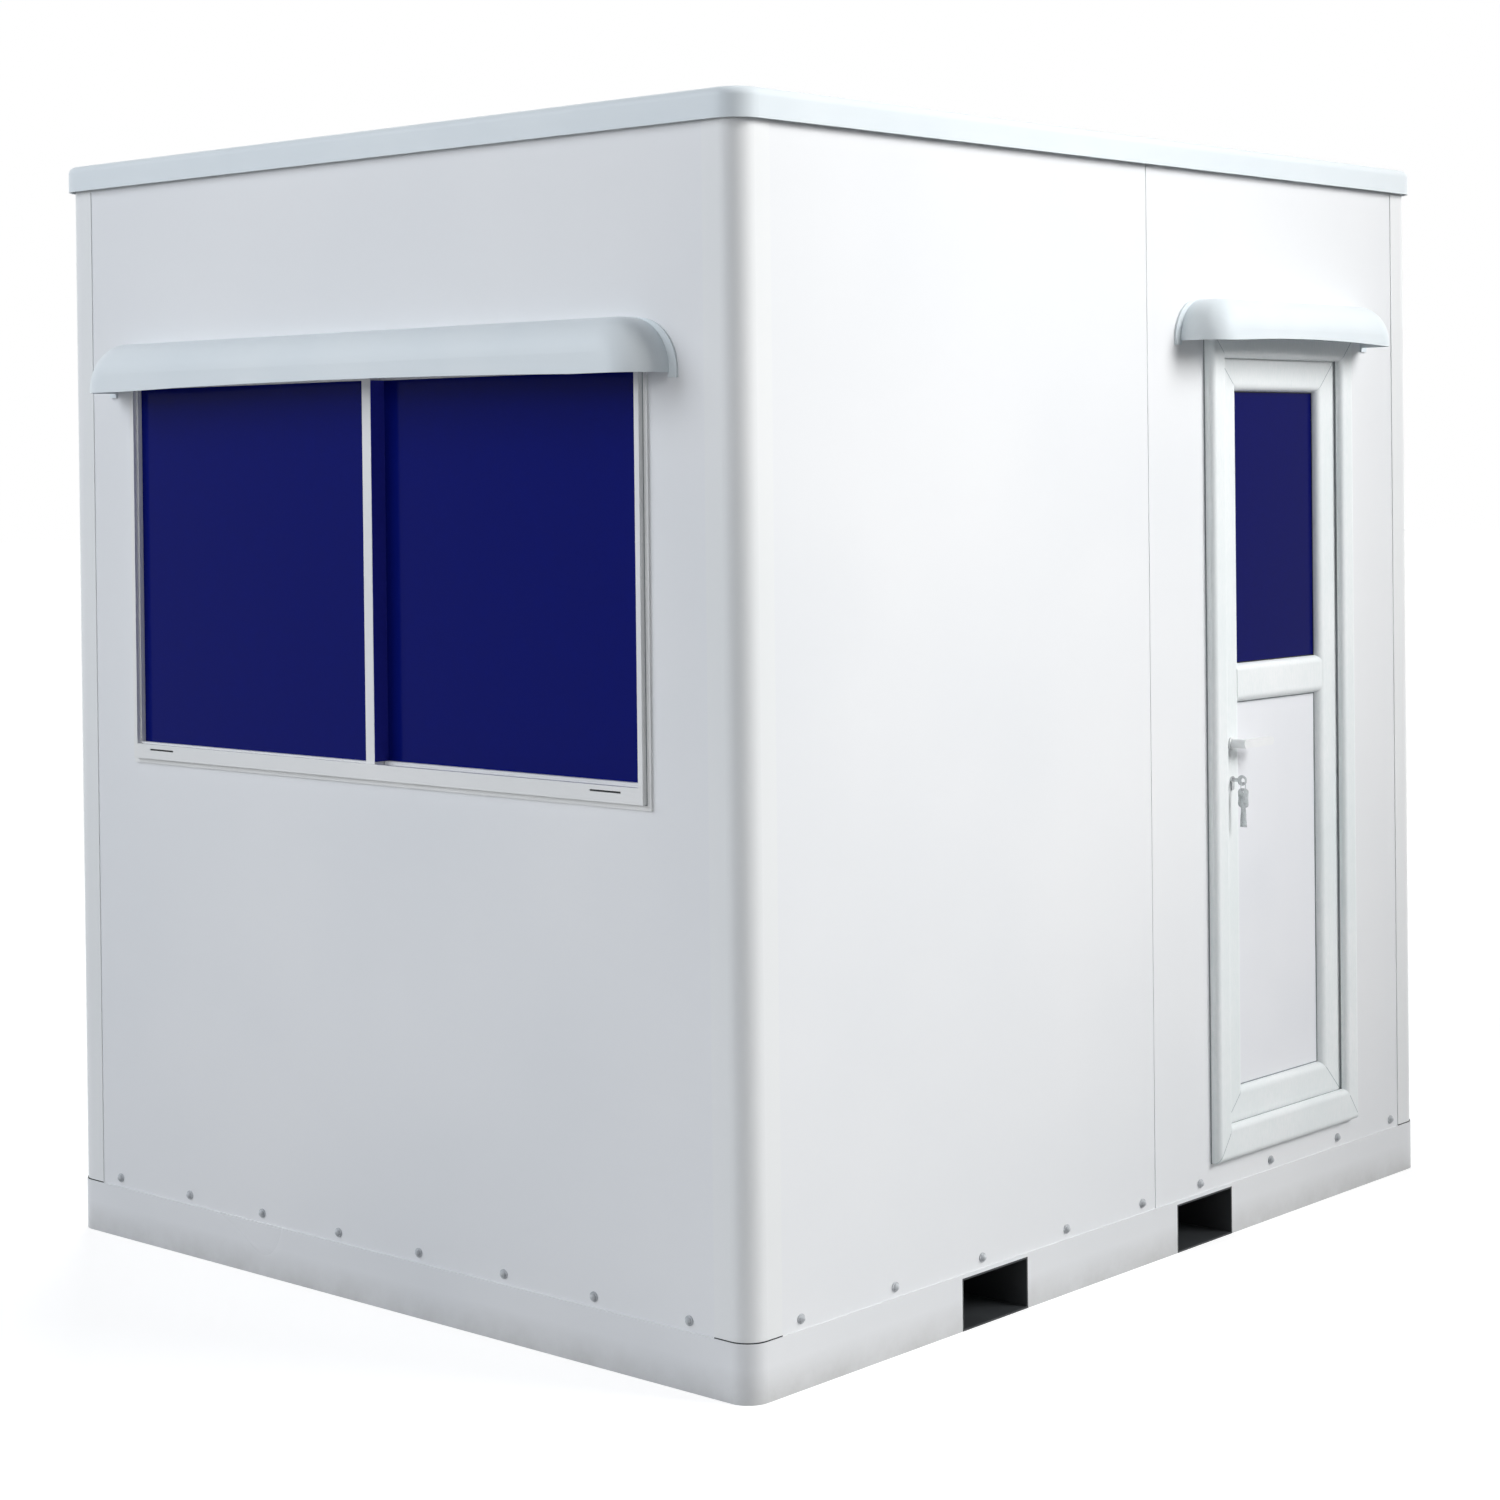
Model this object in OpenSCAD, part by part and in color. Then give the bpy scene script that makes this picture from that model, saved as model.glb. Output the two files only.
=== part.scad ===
// Security guard booth: prefabricated panel cabin with a sliding window and a narrow glazed door.
// Millimetres. +Z is up, the ground is Z = 0 and the middle of the base is X = Y = 0.
// The window wall faces -Y and the door wall faces +X.

/* [Overall] */
// Width of the base along the window wall
booth_w = 2200; // [1800:10:3000]
// Depth of the base along the door wall
booth_d = 2600; // [2300:10:3400]
// Height from the ground to the top of the roof
booth_h = 2580; // [2400:10:2900]
// Radius of the upright corners
corner_r = 50; // [20:1:80]
// Thickness of the wall panels
wall_t = 60; // [40:5:100]

/* [Base frame] */
// Height of the base band
base_h = 120; // [100:5:200]
// Sheet thickness of the base rails
base_sheet = 4; // [3:0.5:8]
// Width of the folded flanges of the base rails
base_flange = 80; // [70:1:100]
// How far the front and back rails turn round the corners
rail_return = 110; // [90:1:200]

/* [Fork pockets] */
// Clear width of a fork pocket
pocket_w = 223; // [180:1:260]
// Clear height of a fork pocket
pocket_clear_h = 104; // [80:1:106]
// Sheet thickness of the pocket tunnels
tunnel_sheet = 4; // [3:0.5:6]
// Place of the front pocket along the depth
pocket_front_y = -512; // [-800:1:-300]
// Place of the rear pocket along the depth
pocket_rear_y = 300; // [200:1:600]
// Radius of the anchor holes in the pocket floors
anchor_hole_r = 11; // [6:0.5:16]
// Distance of the anchor holes from the pocket mouths
anchor_hole_in = 60; // [40:1:150]
// Distance of the anchor holes from the middle of a pocket
anchor_hole_off = 72; // [0:1:90]

/* [Floor] */
// Width of the floor joists
joist_w = 60; // [40:1:100]
// Wall of the floor joists
joist_sheet = 4; // [3:0.5:6]
// Place of the front joist along the depth
joist_front_y = -950; // [-1150:1:-700]
// Place of the rear joist along the depth
joist_rear_y = 850; // [600:1:1150]
// Thickness of the floor deck
deck_t = 18; // [12:1:30]

/* [Wall panels and posts] */
// Leg of a corner post from its sharp corner
post_leg = 95; // [80:1:140]
// Set-back of the posts behind the base face
post_inset = 2; // [1:0.5:5]
// Set-back of the wall panels behind the base face
panel_inset = 4; // [2:0.5:10]
// Distance of the panel joint in front of the door frame
seam_lead = 234; // [60:1:500]
// Width and depth of the groove at a panel joint
seam_groove = 3; // [1:0.5:6]

/* [Roof] */
// Height of the roof fascia
fascia_h = 62; // [56:1:120]
// Overhang of the fascia past the base
roof_overhang = 13; // [6:1:60]
// Radius of the top edge of the fascia
fascia_edge_r = 18; // [8:1:30]
// Sheet thickness of the roof cap
cap_sheet = 4; // [3:0.5:8]
// Thickness of the roof panel
roof_panel_t = 50; // [40:1:80]
// Set-back of the roof panel behind the base face
roof_inset = 8; // [6:0.5:20]

/* [Window] */
// Distance of the window flange from the ends of the base
window_side = 250; // [190:10:500]
// Distance of the window flange from the wall head
window_head = 463; // [300:1:700]
// Height of the lower edge of the window
window_z = 1149; // [900:1:1300]
// Width of the outer flange strip
window_flange_w = 12; // [8:1:30]
// Thickness of the outer flange strip
window_flange_t = 5; // [2:0.5:10]
// Width of the rim inside the flange
window_rim_w = 13; // [10:1:30]
// Height of the rim along the lower edge
window_sill_w = 34; // [30:1:60]
// How far the rim stands proud of the wall
window_rim_proud = 17; // [12:1:30]
// Thickness of the rim in front of the sashes
window_lip_t = 11; // [8:0.5:11]
// Depth by which the sashes reach into their track
window_track_d = 8; // [4:0.5:12]
// Width of the outer bars of a sash
sash_bar_w = 12; // [11:1:50]
// Width of the meeting bars of the sashes
sash_meeting_w = 28; // [24:1:60]
// Thickness of a sash
sash_t = 27; // [20:0.5:28]
// Thickness of a window pane
window_pane_t = 6; // [4:0.5:20]
// How far a pane reaches into its bars
pane_bite = 8; // [5:0.5:9]
// Length of a drain slot
drain_slot_l = 88; // [30:1:120]
// Height of a drain slot
drain_slot_h = 4; // [2:0.5:8]
// Distance of the drain slots from the sides of the flange
drain_slot_in = 118; // [60:1:300]
// Height of the drain slots above the lower edge of the flange
drain_slot_up = 34; // [20:1:40]

/* [Rain hoods] */
// Height of the window hood at the wall
window_hood_h = 114; // [90:1:200]
// Height of the door hood at the wall
door_hood_h = 100; // [90:1:200]
// Height of the straight heel below the rounded ends of a hood
hood_heel = 6; // [2:0.5:10]
// Depth of the straight skirt against the wall
hood_skirt = 40; // [20:1:80]
// Radius between the skirt and the front of a hood
hood_round_r = 72; // [40:1:80]
// Sheet thickness of a hood
hood_sheet = 4; // [3:0.5:8]
// Rise of the lower edge from the wall to the front
hood_front_rise = 8; // [2:1:40]
// Rise of the arch along the lower edge
hood_arch_rise = 12; // [4:1:30]
// Overhang of the window hood past the window flange
window_hood_over = 62; // [10:1:80]
// How far the window hood reaches down over the window flange
window_hood_drop = 37; // [10:1:90]
// Overhang of the door hood past the door frame
door_hood_over = 90; // [60:0.5:200]
// How far the door hood reaches down over the door frame
door_hood_drop = 23; // [10:1:90]
// Distance of the middle of the door hood in front of the middle of the door
door_hood_shift = 12; // [0:1:40]
// Width of the flat ears of a hood beside its ends
hood_ear_w = 20; // [10:1:30]
// Thickness of the ears
hood_ear_t = 5; // [3:0.5:8]
// How far the ears reach below the heel
hood_ear_drop = 10; // [4:1:20]

/* [Door frame] */
// Width over the door frame
door_w = 640; // [560:5:880]
// Distance of the door frame from the wall head
door_head = 385; // [250:1:500]
// Distance of the middle of the door from the back of the base
door_rear = 645; // [520:1:900]
// Height of the lower edge of the door frame
door_z = 181; // [150:1:250]
// Face width of the frame with its lip
frame_face_w = 60; // [50:1:90]
// Width of the frame beside the leaf
frame_body_w = 42; // [30:1:60]
// How far the frame stands proud of the wall
frame_proud = 25; // [10:1:40]
// Thickness of the lip in front of the leaf
frame_lip_t = 17; // [15:0.5:22]
// Rounding along the outer and inner edges of the frame
frame_edge_r = 14; // [4:0.5:16]
// Extra height of the frame's sill over its other bars
frame_sill_extra = 22; // [0.5:0.5:60]

/* [Door leaf] */
// Gap between the leaf and the frame beside it
leaf_gap = 12; // [8:0.5:16]
// Gap between the leaf and the lip
seal_gap = 5; // [5:0.5:8]
// Thickness of the leaf
leaf_t = 62; // [50:1:70]
// Width of the stiles and rails
leaf_bar_w = 84; // [70:1:120]
// Rounding of the stiles and rails towards the pane
leaf_edge_r = 18; // [6:1:24]
// How far the middle rail is coped over the stiles as a share of their rounding
rail_cope_share = 0.6; // [0.3:0.05:0.8]
// Height of the lower edge of the middle rail
mid_rail_z = 1260; // [1000:1:1400]
// Height of the middle rail
mid_rail_h = 92; // [60:1:150]
// Thickness of the door pane and of the infill panel
infill_t = 24; // [10:1:30]

/* [Door hinges] */
// Height of a hinge
hinge_h = 90; // [60:1:140]
// Radius of a hinge barrel
barrel_r = 8; // [6:0.5:12]
// Radius of a hinge pin
hinge_pin_r = 5; // [3:0.5:8]
// Clearance between pin and sleeve
hinge_clear = 0.08; // [0.02:0.01:0.1]
// Thickness of the hinge plates
hinge_plate_t = 4; // [3:0.5:6]
// Width of the hinge plates
hinge_plate_w = 40; // [20:1:60]
// Distance of the hinge line behind the leaf
hinge_back = 11; // [9:0.5:20]
// Distance of the hinge line beside the leaf
hinge_side = 6; // [4:0.5:10]
// Gap between the two barrels of a hinge
barrel_gap = 1; // [0.5:0.5:3]
// Distance of the outer hinges from the ends of the leaf
hinge_end = 220; // [120:5:400]

/* [Lock and lever] */
// Height of the lever spindle
lever_z = 1165; // [1000:1:1300]
// Distance of the spindle from the edge of the leaf
backset = 45; // [30:1:60]
// Length of the lever from its spindle
lever_l = 118; // [90:1:150]
// Height of the lever grip
lever_h = 20; // [14:1:30]
// Thickness of the lever grip
lever_t = 12; // [8:0.5:18]
// Clear finger space behind the lever grip
lever_reach = 32; // [25:1:60]
// Radius of the lever hub
hub_r = 11; // [8:0.5:14]
// Clearance between the lever hub and the leaf
hub_clear = 0.5; // [0.2:0.1:2]
// Radius of the spindle
spindle_r = 6; // [4:0.5:8]
// Clearance around the spindle inside the leaf
spindle_clear = 4; // [1:0.5:6]
// Radius of the collar at the foot of a lever
collar_r = 15; // [12:0.5:20]
// Thickness of the collar
collar_t = 4; // [2:0.5:8]
// Height of the lock cylinder
cylinder_z = 1078; // [900:1:1150]
// Radius of the round plug of the lock cylinder
cylinder_r = 8.5; // [7:0.5:12]
// Width of the stem below the plug
cylinder_stem_w = 10; // [8:0.5:12]
// How far the stem reaches below the middle of the plug
cylinder_drop = 24.5; // [18:0.5:30]
// How far the lock cylinder stands proud of the leaf
cylinder_proud = 4; // [2:0.5:8]

/* [Keys] */
// Radius of the bow of the key in the lock
key_bow_r = 12.5; // [9:0.5:16]
// Thickness of a key
key_t = 2.5; // [1.5:0.1:4]
// Radius of the hole in the bow
key_hole_r = 5.5; // [3:0.5:6]
// Distance of the hole outward from the middle of the bow
key_hole_off = 3; // [0:0.5:4]
// Free shank between the lock and the bow of its key
key_neck = 12; // [4:0.5:16]
// Width of a hanging key's head
key_head_w = 26; // [20:1:32]
// Height of a hanging key's head
key_head_h = 46; // [30:1:60]
// Corner radius of a hanging key's head
key_head_r = 9; // [4:0.5:9]
// Radius of the ring hole in a hanging key
key_ring_hole_r = 3; // [2:0.5:4]
// Distance of the ring hole from the top of the head
key_hole_edge = 8; // [6:0.5:12]
// Angle by which the two hanging keys spread
key_splay = 4; // [1:0.5:8]
// Length of a hanging key's blade
key_blade_l = 46; // [20:1:60]
// Height of a key blade
key_blade_h = 8.5; // [6:0.5:10]
// Radius of the key ring
ring_r = 10; // [9:0.5:24]
// Radius of the key ring wire
ring_wire_r = 1.2; // [0.8:0.1:2]
// Offset of the two hanging keys as a share of a key's thickness
key_spread_share = 0.7; // [0.6:0.05:1]

/* [View] */
// Name of the sub-part to draw, or all

/* [Hidden] */

// Smoothness of round faces in the preview
$fn = 96;
// Sides of the arch under a hood over the hood's width
arch_steps = 24;
// Overrun of every cut past the face it opens
overrun = booth_h / 2000;

// Faces of the base, posts and panels
half_w = booth_w / 2;
half_d = booth_d / 2;
panel_x = half_w - panel_inset;
panel_y = half_d - panel_inset;
room_x = panel_x - wall_t;
room_y = panel_y - wall_t;
post_x = half_w - post_inset - post_leg;
post_y = half_d - post_inset - post_leg;

// Heights of the floor and the wall heads
wall_top = booth_h - cap_sheet - roof_panel_t;
deck_top = base_h + deck_t;

// Fork tunnels
tunnel_w = pocket_w + 2 * tunnel_sheet;
tunnel_h = pocket_clear_h + 2 * tunnel_sheet;

// Window places
window_w = booth_w - 2 * window_side;
window_h = wall_top - window_head - window_z;
drain_slot_x = window_w / 2 - drain_slot_in;
window_cz = window_z + window_h / 2;
window_body_w = window_w - 2 * window_flange_w;
window_body_h = window_h - 2 * window_flange_w;
window_open_w = window_body_w - 2 * window_rim_w;
window_open_h = window_body_h - window_rim_w - window_sill_w;
window_open_cz = window_cz + (window_sill_w - window_rim_w) / 2;
window_track_w = window_open_w + 2 * window_track_d;
window_track_h = window_open_h + 2 * window_track_d;
window_lip_n = window_rim_proud - window_lip_t;
sash_gap = window_lip_t / 4;
sash_gap_n = window_lip_n - sash_t - sash_gap;
window_back_n = sash_gap_n - sash_t;

// Door places, along the wall, upward and outward from the panel face
door_y = half_d - door_rear;
door_h = wall_top - door_head - door_z;
seam_y = door_y - door_w / 2 - seam_lead;
door_cz = door_z + door_h / 2;
frame_sill_w = frame_face_w + frame_sill_extra;
leaf_w = door_w - 2 * (frame_body_w + leaf_gap);
leaf_h = door_h - 2 * (frame_body_w + leaf_gap) - frame_sill_extra;
leaf_cz = door_cz + frame_sill_extra / 2;
leaf_x = panel_x + frame_proud - frame_lip_t - seal_gap;
leaf_back_x = leaf_x - leaf_t;
lock_edge_y = door_y - leaf_w / 2;
hinge_edge_y = door_y + leaf_w / 2;
leaf_low_z = leaf_cz - leaf_h / 2;
leaf_top_z = leaf_cz + leaf_h / 2;
infill_x = leaf_x - leaf_edge_r;
mitre_reach = 4 * (leaf_t + frame_proud);

// Hoods
hood_depth = hood_skirt + hood_round_r;
window_hood_w = window_w + 2 * window_hood_over;
window_hood_z = window_z + window_h - window_hood_drop;
door_hood_w = door_w + 2 * door_hood_over;
door_hood_y = door_y - door_hood_shift;
door_hood_z = door_z + door_h - door_hood_drop;

// Hinge line and hinge heights
hinge_x = leaf_back_x - hinge_back;
hinge_y = hinge_edge_y + hinge_side;
hinge_zs = [leaf_low_z + hinge_end, leaf_cz, leaf_top_z - hinge_end];

// Lock places
lever_y = lock_edge_y + backset;
key_x = leaf_x + cylinder_proud + key_neck + key_bow_r;
key_seat = ring_wire_r / 6;
ring_x = key_x + key_hole_off;
ring_z = cylinder_z - key_hole_r + ring_wire_r - key_seat - ring_r;

// Box between two corners
module box(lo, hi) {
    translate(lo)
        cube(hi - lo);
}

// Quarter disc in the first quadrant
module quarter(r) {
    intersection() {
        circle(r);
        square(r);
    }
}

// Rectangle about the origin with round corners
module round_rect(w, d, r) {
    square([w, d - 2 * r], center = true);
    for (y = [-d / 2, d / 2 - r])
        translate([-w / 2 + r, y])
            square([w - 2 * r, r]);
    for (k = [0:3])
        rotate(90 * k)
            translate([(k % 2 == 0 ? w : d) / 2 - r, (k % 2 == 0 ? d : w) / 2 - r])
                quarter(r);
}

// Folded channel round the whole base, open to the inside
module base_ring() {
    difference() {
        linear_extrude(base_h)
            round_rect(booth_w, booth_d, corner_r);
        translate([0, 0, base_sheet])
            linear_extrude(base_h - 2 * base_sheet)
                round_rect(booth_w - 2 * base_sheet, booth_d - 2 * base_sheet,
                    corner_r - base_sheet);
        box([-half_w + base_flange, -half_d + base_flange, -overrun],
            [half_w - base_flange, half_d - base_flange, base_h + overrun]);
    }
}

// Front or back rail with both round corners, side is -1 or 1
module end_rail(side) {
    intersection() {
        base_ring();
        translate([-booth_w, side > 0 ? half_d - rail_return : -half_d - overrun, -overrun])
            cube([2 * booth_w, rail_return + overrun, base_h + 2 * overrun]);
    }
}

// Side rail between the corners, notched for the fork tunnels
module side_rail(side) {
    difference() {
        intersection() {
            base_ring();
            translate([side > 0 ? 0 : -booth_w, -half_d + rail_return, -overrun])
                cube([booth_w, booth_d - 2 * rail_return, base_h + 2 * overrun]);
        }
        for (y = [pocket_front_y, pocket_rear_y])
            translate([-booth_w, y - tunnel_w / 2, -overrun])
                cube([2 * booth_w, tunnel_w, tunnel_h + overrun]);
    }
}

module base_rail_front() {
    color("white")
        end_rail(-1);
}

module base_rail_back() {
    color("white")
        end_rail(1);
}

module base_rail_right() {
    color("white")
        side_rail(1);
}

module base_rail_left() {
    color("white")
        side_rail(-1);
}

// Tunnel from side to side with an anchor hole behind each mouth
module fork_tunnel(y) {
    translate([0, y, 0])
        difference() {
            box([-half_w, -tunnel_w / 2, 0], [half_w, tunnel_w / 2, tunnel_h]);
            box([-half_w - overrun, -pocket_w / 2, tunnel_sheet],
                [half_w + overrun, pocket_w / 2, tunnel_sheet + pocket_clear_h]);
            for (side = [-1, 1])
                translate([side * (half_w - anchor_hole_in), -anchor_hole_off, -overrun])
                    cylinder(h = tunnel_sheet + 2 * overrun, r = anchor_hole_r);
        }
}

module fork_tunnel_front() {
    color("dimgray")
        fork_tunnel(pocket_front_y);
}

module fork_tunnel_rear() {
    color("dimgray")
        fork_tunnel(pocket_rear_y);
}

// Square tubes across the base between the rail flanges
module floor_joists() {
    joist_x = half_w - base_flange;
    color("dimgray")
        for (y = [joist_front_y, 0, joist_rear_y])
            translate([0, y, 0])
                difference() {
                    box([-joist_x, -joist_w / 2, 0], [joist_x, joist_w / 2, base_h]);
                    box([-joist_x - overrun, -joist_w / 2 + joist_sheet, joist_sheet],
                        [joist_x + overrun, joist_w / 2 - joist_sheet, base_h - joist_sheet]);
                }
}

module floor_deck() {
    color("tan")
        box([-room_x, -room_y, base_h], [room_x, room_y, deck_top]);
}

// Wall with a hole for the body of the window
module front_wall() {
    color("white")
        difference() {
            box([-post_x, -panel_y, base_h], [post_x, -room_y, wall_top]);
            translate([-window_body_w / 2, -panel_y - overrun, window_z + window_flange_w])
                cube([window_body_w, wall_t + 2 * overrun, window_body_h]);
        }
}

module back_wall() {
    color("white")
        box([-post_x, room_y, base_h], [post_x, panel_y, wall_top]);
}

// Panel of a side wall, grooved along one upright edge on the outside
module side_panel(side, y0, y1, groove_y) {
    groove_x = side * panel_x;
    difference() {
        box([side > 0 ? room_x : -panel_x, y0, base_h], [side > 0 ? panel_x : -room_x, y1, wall_top]);
        box([groove_x - seam_groove, groove_y - seam_groove / 2, base_h - overrun],
            [groove_x + seam_groove, groove_y + seam_groove / 2, wall_top + overrun]);
    }
}

module right_wall_panel() {
    color("white")
        side_panel(1, -post_y, seam_y, seam_y);
}

module door_wall_front_strip() {
    color("white")
        side_panel(1, seam_y, door_y - door_w / 2, seam_y);
}

module door_wall_rear_strip() {
    color("white")
        box([room_x, door_y + door_w / 2, base_h], [panel_x, post_y, wall_top]);
}

module door_wall_header() {
    color("white")
        box([room_x, door_y - door_w / 2, door_z + door_h],
            [panel_x, door_y + door_w / 2, wall_top]);
}

module door_wall_sill() {
    color("white")
        box([room_x, door_y - door_w / 2, base_h], [panel_x, door_y + door_w / 2, door_z]);
}

module left_wall_front_panel() {
    color("white")
        side_panel(-1, -post_y, seam_y, seam_y);
}

module left_wall_rear_panel() {
    color("white")
        side_panel(-1, seam_y, post_y, seam_y);
}

// Angle profile with a round outer corner, turned to its corner of the booth
module corner_post(x, y, turn) {
    post_t = wall_t + panel_inset - post_inset;
    translate([x * (half_w - post_inset), y * (half_d - post_inset), base_h])
        rotate([0, 0, turn])
            linear_extrude(wall_top - base_h) {
                translate([-post_leg, -post_t])
                    square([post_leg - corner_r, post_t]);
                translate([-post_t, -post_leg])
                    square([post_t, post_leg - corner_r]);
                translate([-corner_r, -corner_r])
                    quarter(corner_r);
            }
}

module post_back_right() {
    color("whitesmoke")
        corner_post(1, 1, 0);
}

module post_back_left() {
    color("whitesmoke")
        corner_post(-1, 1, 90);
}

module post_front_left() {
    color("whitesmoke")
        corner_post(-1, -1, 180);
}

module post_front_right() {
    color("whitesmoke")
        corner_post(1, -1, 270);
}

module roof_panel() {
    color("white")
        translate([0, 0, wall_top])
            linear_extrude(roof_panel_t)
                round_rect(booth_w - 2 * roof_inset, booth_d - 2 * roof_inset, corner_r);
}

// Section of the cap from a corner's middle outward, skin is taken off the side and the top
module cap_section(skin) {
    reach = corner_r + roof_overhang - skin;
    edge = fascia_edge_r - skin;
    side_h = fascia_h - fascia_edge_r;
    square([reach, side_h]);
    translate([0, side_h])
        square([reach - edge, edge]);
    translate([reach - edge, side_h])
        quarter(edge);
}

// Filled lid with round corners and a round top edge
module cap_body(skin) {
    core_x = half_w - corner_r;
    core_y = half_d - corner_r;
    box([-core_x, -core_y, 0], [core_x, core_y, fascia_h - skin]);
    for (k = [0:3]) {
        core_u = k % 2 == 0 ? core_x : core_y;
        core_v = k % 2 == 0 ? core_y : core_x;
        rotate([0, 0, 90 * k])
            translate([core_u, core_v, 0]) {
                rotate_extrude(angle = 90)
                    cap_section(skin);
                rotate([90, 0, 0])
                    linear_extrude(2 * core_v)
                        cap_section(skin);
            }
    }
}

// Moulded lid over the roof panel, hollow below its top sheet
module roof_cap() {
    color("white")
        translate([0, 0, booth_h - fascia_h])
            difference() {
                cap_body(0);
                cap_body(cap_sheet);
            }
}

// Box about a height of the window wall, n is measured outward from the panel face
module window_box(w, h, cz, n0, n1) {
    box([-w / 2, -panel_y - n1, cz - h / 2], [w / 2, -panel_y - n0, cz + h / 2]);
}

// Welded frame with a flange on the wall, a proud rim and a track for two sashes
module window_frame() {
    color("white")
        difference() {
            union() {
                window_box(window_body_w, window_body_h, window_cz, -wall_t, window_rim_proud);
                window_box(window_w, window_h, window_cz, 0, window_flange_t);
            }
            window_box(window_open_w, window_open_h, window_open_cz, -wall_t - overrun,
                window_rim_proud + overrun);
            window_box(window_track_w, window_track_h, window_open_cz, window_back_n, window_lip_n);
            for (side = [-1, 1])
                translate([side * drain_slot_x - drain_slot_l / 2,
                    -panel_y - window_rim_proud - overrun,
                    window_z + drain_slot_up - drain_slot_h / 2])
                    cube([drain_slot_l, window_lip_t + overrun, drain_slot_h]);
        }
}

// Space that a pane takes between its bars, side is -1 or 1, n1 is its sash's outer face
module window_pane(side, n1) {
    x_out = window_track_w / 2 - sash_bar_w + pane_bite;
    x_in = sash_meeting_w / 2 - pane_bite;
    z_half = window_track_h / 2 - sash_bar_w + pane_bite;
    y_mid = -panel_y - n1 + sash_t / 2;
    box([side < 0 ? -x_out : x_in, y_mid - window_pane_t / 2, window_open_cz - z_half],
        [side < 0 ? -x_in : x_out, y_mid + window_pane_t / 2, window_open_cz + z_half]);
}

// Sash of four bars grooved for its pane
module window_sash(side, n1) {
    x_out = window_track_w / 2;
    x_in = sash_meeting_w / 2;
    z_half = window_track_h / 2;
    x_hole_out = x_out - sash_bar_w;
    z_hole = z_half - sash_bar_w;
    difference() {
        box([side < 0 ? -x_out : -x_in, -panel_y - n1, window_open_cz - z_half],
            [side < 0 ? x_in : x_out, -panel_y - n1 + sash_t, window_open_cz + z_half]);
        box([side < 0 ? -x_hole_out : x_in, -panel_y - n1 - overrun, window_open_cz - z_hole],
            [side < 0 ? -x_in : x_hole_out, -panel_y - n1 + sash_t + overrun, window_open_cz + z_hole]);
        window_pane(side, n1);
    }
}

module window_sash_left() {
    color("white")
        window_sash(-1, window_lip_n);
}

module window_sash_right() {
    color("white")
        window_sash(1, sash_gap_n);
}

module window_panes() {
    color("midnightblue") {
        window_pane(-1, window_lip_n);
        window_pane(1, sash_gap_n);
    }
}

// Section of a hood from the middle of its end outward, skin is taken off all round
module hood_section(end_r, skin) {
    r = end_r - skin;
    bend = hood_round_r - skin;
    square([r, hood_skirt]);
    translate([0, hood_skirt])
        square([r - bend, bend]);
    translate([r - bend, hood_skirt])
        quarter(bend);
}

// Filled hood, its wall side on Y = 0 and its front towards -Y
module hood_body(w, h, skin) {
    end_r = h - hood_heel;
    run = w - 2 * end_r;
    translate([-run / 2, -hood_depth + skin, 0])
        cube([run, hood_depth - skin, hood_heel]);
    for (turn = [0, 1])
        mirror([turn, 0, 0])
            translate([run / 2, 0, 0])
                linear_extrude(hood_heel)
                    mirror([0, 1, 0])
                        hood_section(end_r, skin);
    translate([0, 0, hood_heel]) {
        rotate([90, 0, 90])
            translate([0, 0, -run / 2])
                linear_extrude(run)
                    rotate(90)
                        hood_section(end_r, skin);
        translate([run / 2, 0, 0])
            rotate([90, 0, 0])
                rotate_extrude(angle = 90)
                    hood_section(end_r, skin);
        translate([-run / 2, 0, 0])
            rotate([90, 0, 0])
                rotate([0, 0, 90])
                    rotate_extrude(angle = 90)
                        hood_section(end_r, skin);
    }
}

// Flat ears against the wall, starting inside the ends of a hood and widening downward
module hood_ears(w, h) {
    ear_r = h - hood_heel - hood_sheet / 2;
    for (turn = [0, 1])
        mirror([turn, 0, 0])
            rotate([90, 0, 0])
                linear_extrude(hood_ear_t) {
                    translate([w / 2 + hood_ear_w - ear_r, hood_heel])
                        quarter(ear_r);
                    translate([w / 2 - hood_sheet, -hood_ear_drop])
                        square([hood_ear_w + hood_sheet, hood_ear_drop + hood_heel]);
                }
}

// Moulded rain hood, open below, with an arched lower edge that rises to the front
module hood(w, h) {
    arch_r = (w * w / 4 + hood_arch_rise * hood_arch_rise) / (2 * hood_arch_rise);
    arch_sides = arch_steps * ceil(2 * PI * arch_r / w);
    tilt = atan(hood_front_rise / hood_depth);
    difference() {
        union() {
            difference() {
                hood_body(w, h, 0);
                rotate([90 - tilt, 0, 0])
                    translate([0, 0, -hood_depth])
                        linear_extrude(3 * hood_depth)
                            intersection() {
                                translate([0, -arch_r])
                                    circle(arch_r, $fn = arch_sides);
                                translate([-w, -hood_depth])
                                    square([2 * w, 2 * hood_depth]);
                            }
            }
            hood_ears(w, h);
        }
        hood_body(w, h, hood_sheet);
    }
}

module window_hood() {
    color("white")
        translate([0, -panel_y, window_hood_z])
            hood(window_hood_w, window_hood_h);
}

module door_hood() {
    color("white")
        translate([panel_x, door_hood_y, door_hood_z])
            rotate([0, 0, 90])
                hood(door_hood_w, door_hood_h);
}

// Bar cut at both ends towards the inner corners, low and high are the widths of the bars it meets
module mitred_bar(l, w, low, high) {
    intersection() {
        translate([0, 0, -l / 2])
            linear_extrude(l)
                children();
        rotate([90, 0, 0])
            translate([0, 0, -mitre_reach / 2])
                linear_extrude(mitre_reach)
                    polygon([[0, -l / 2], [w, -l / 2 + low], [w, l / 2 - high], [0, l / 2]]);
    }
}

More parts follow.
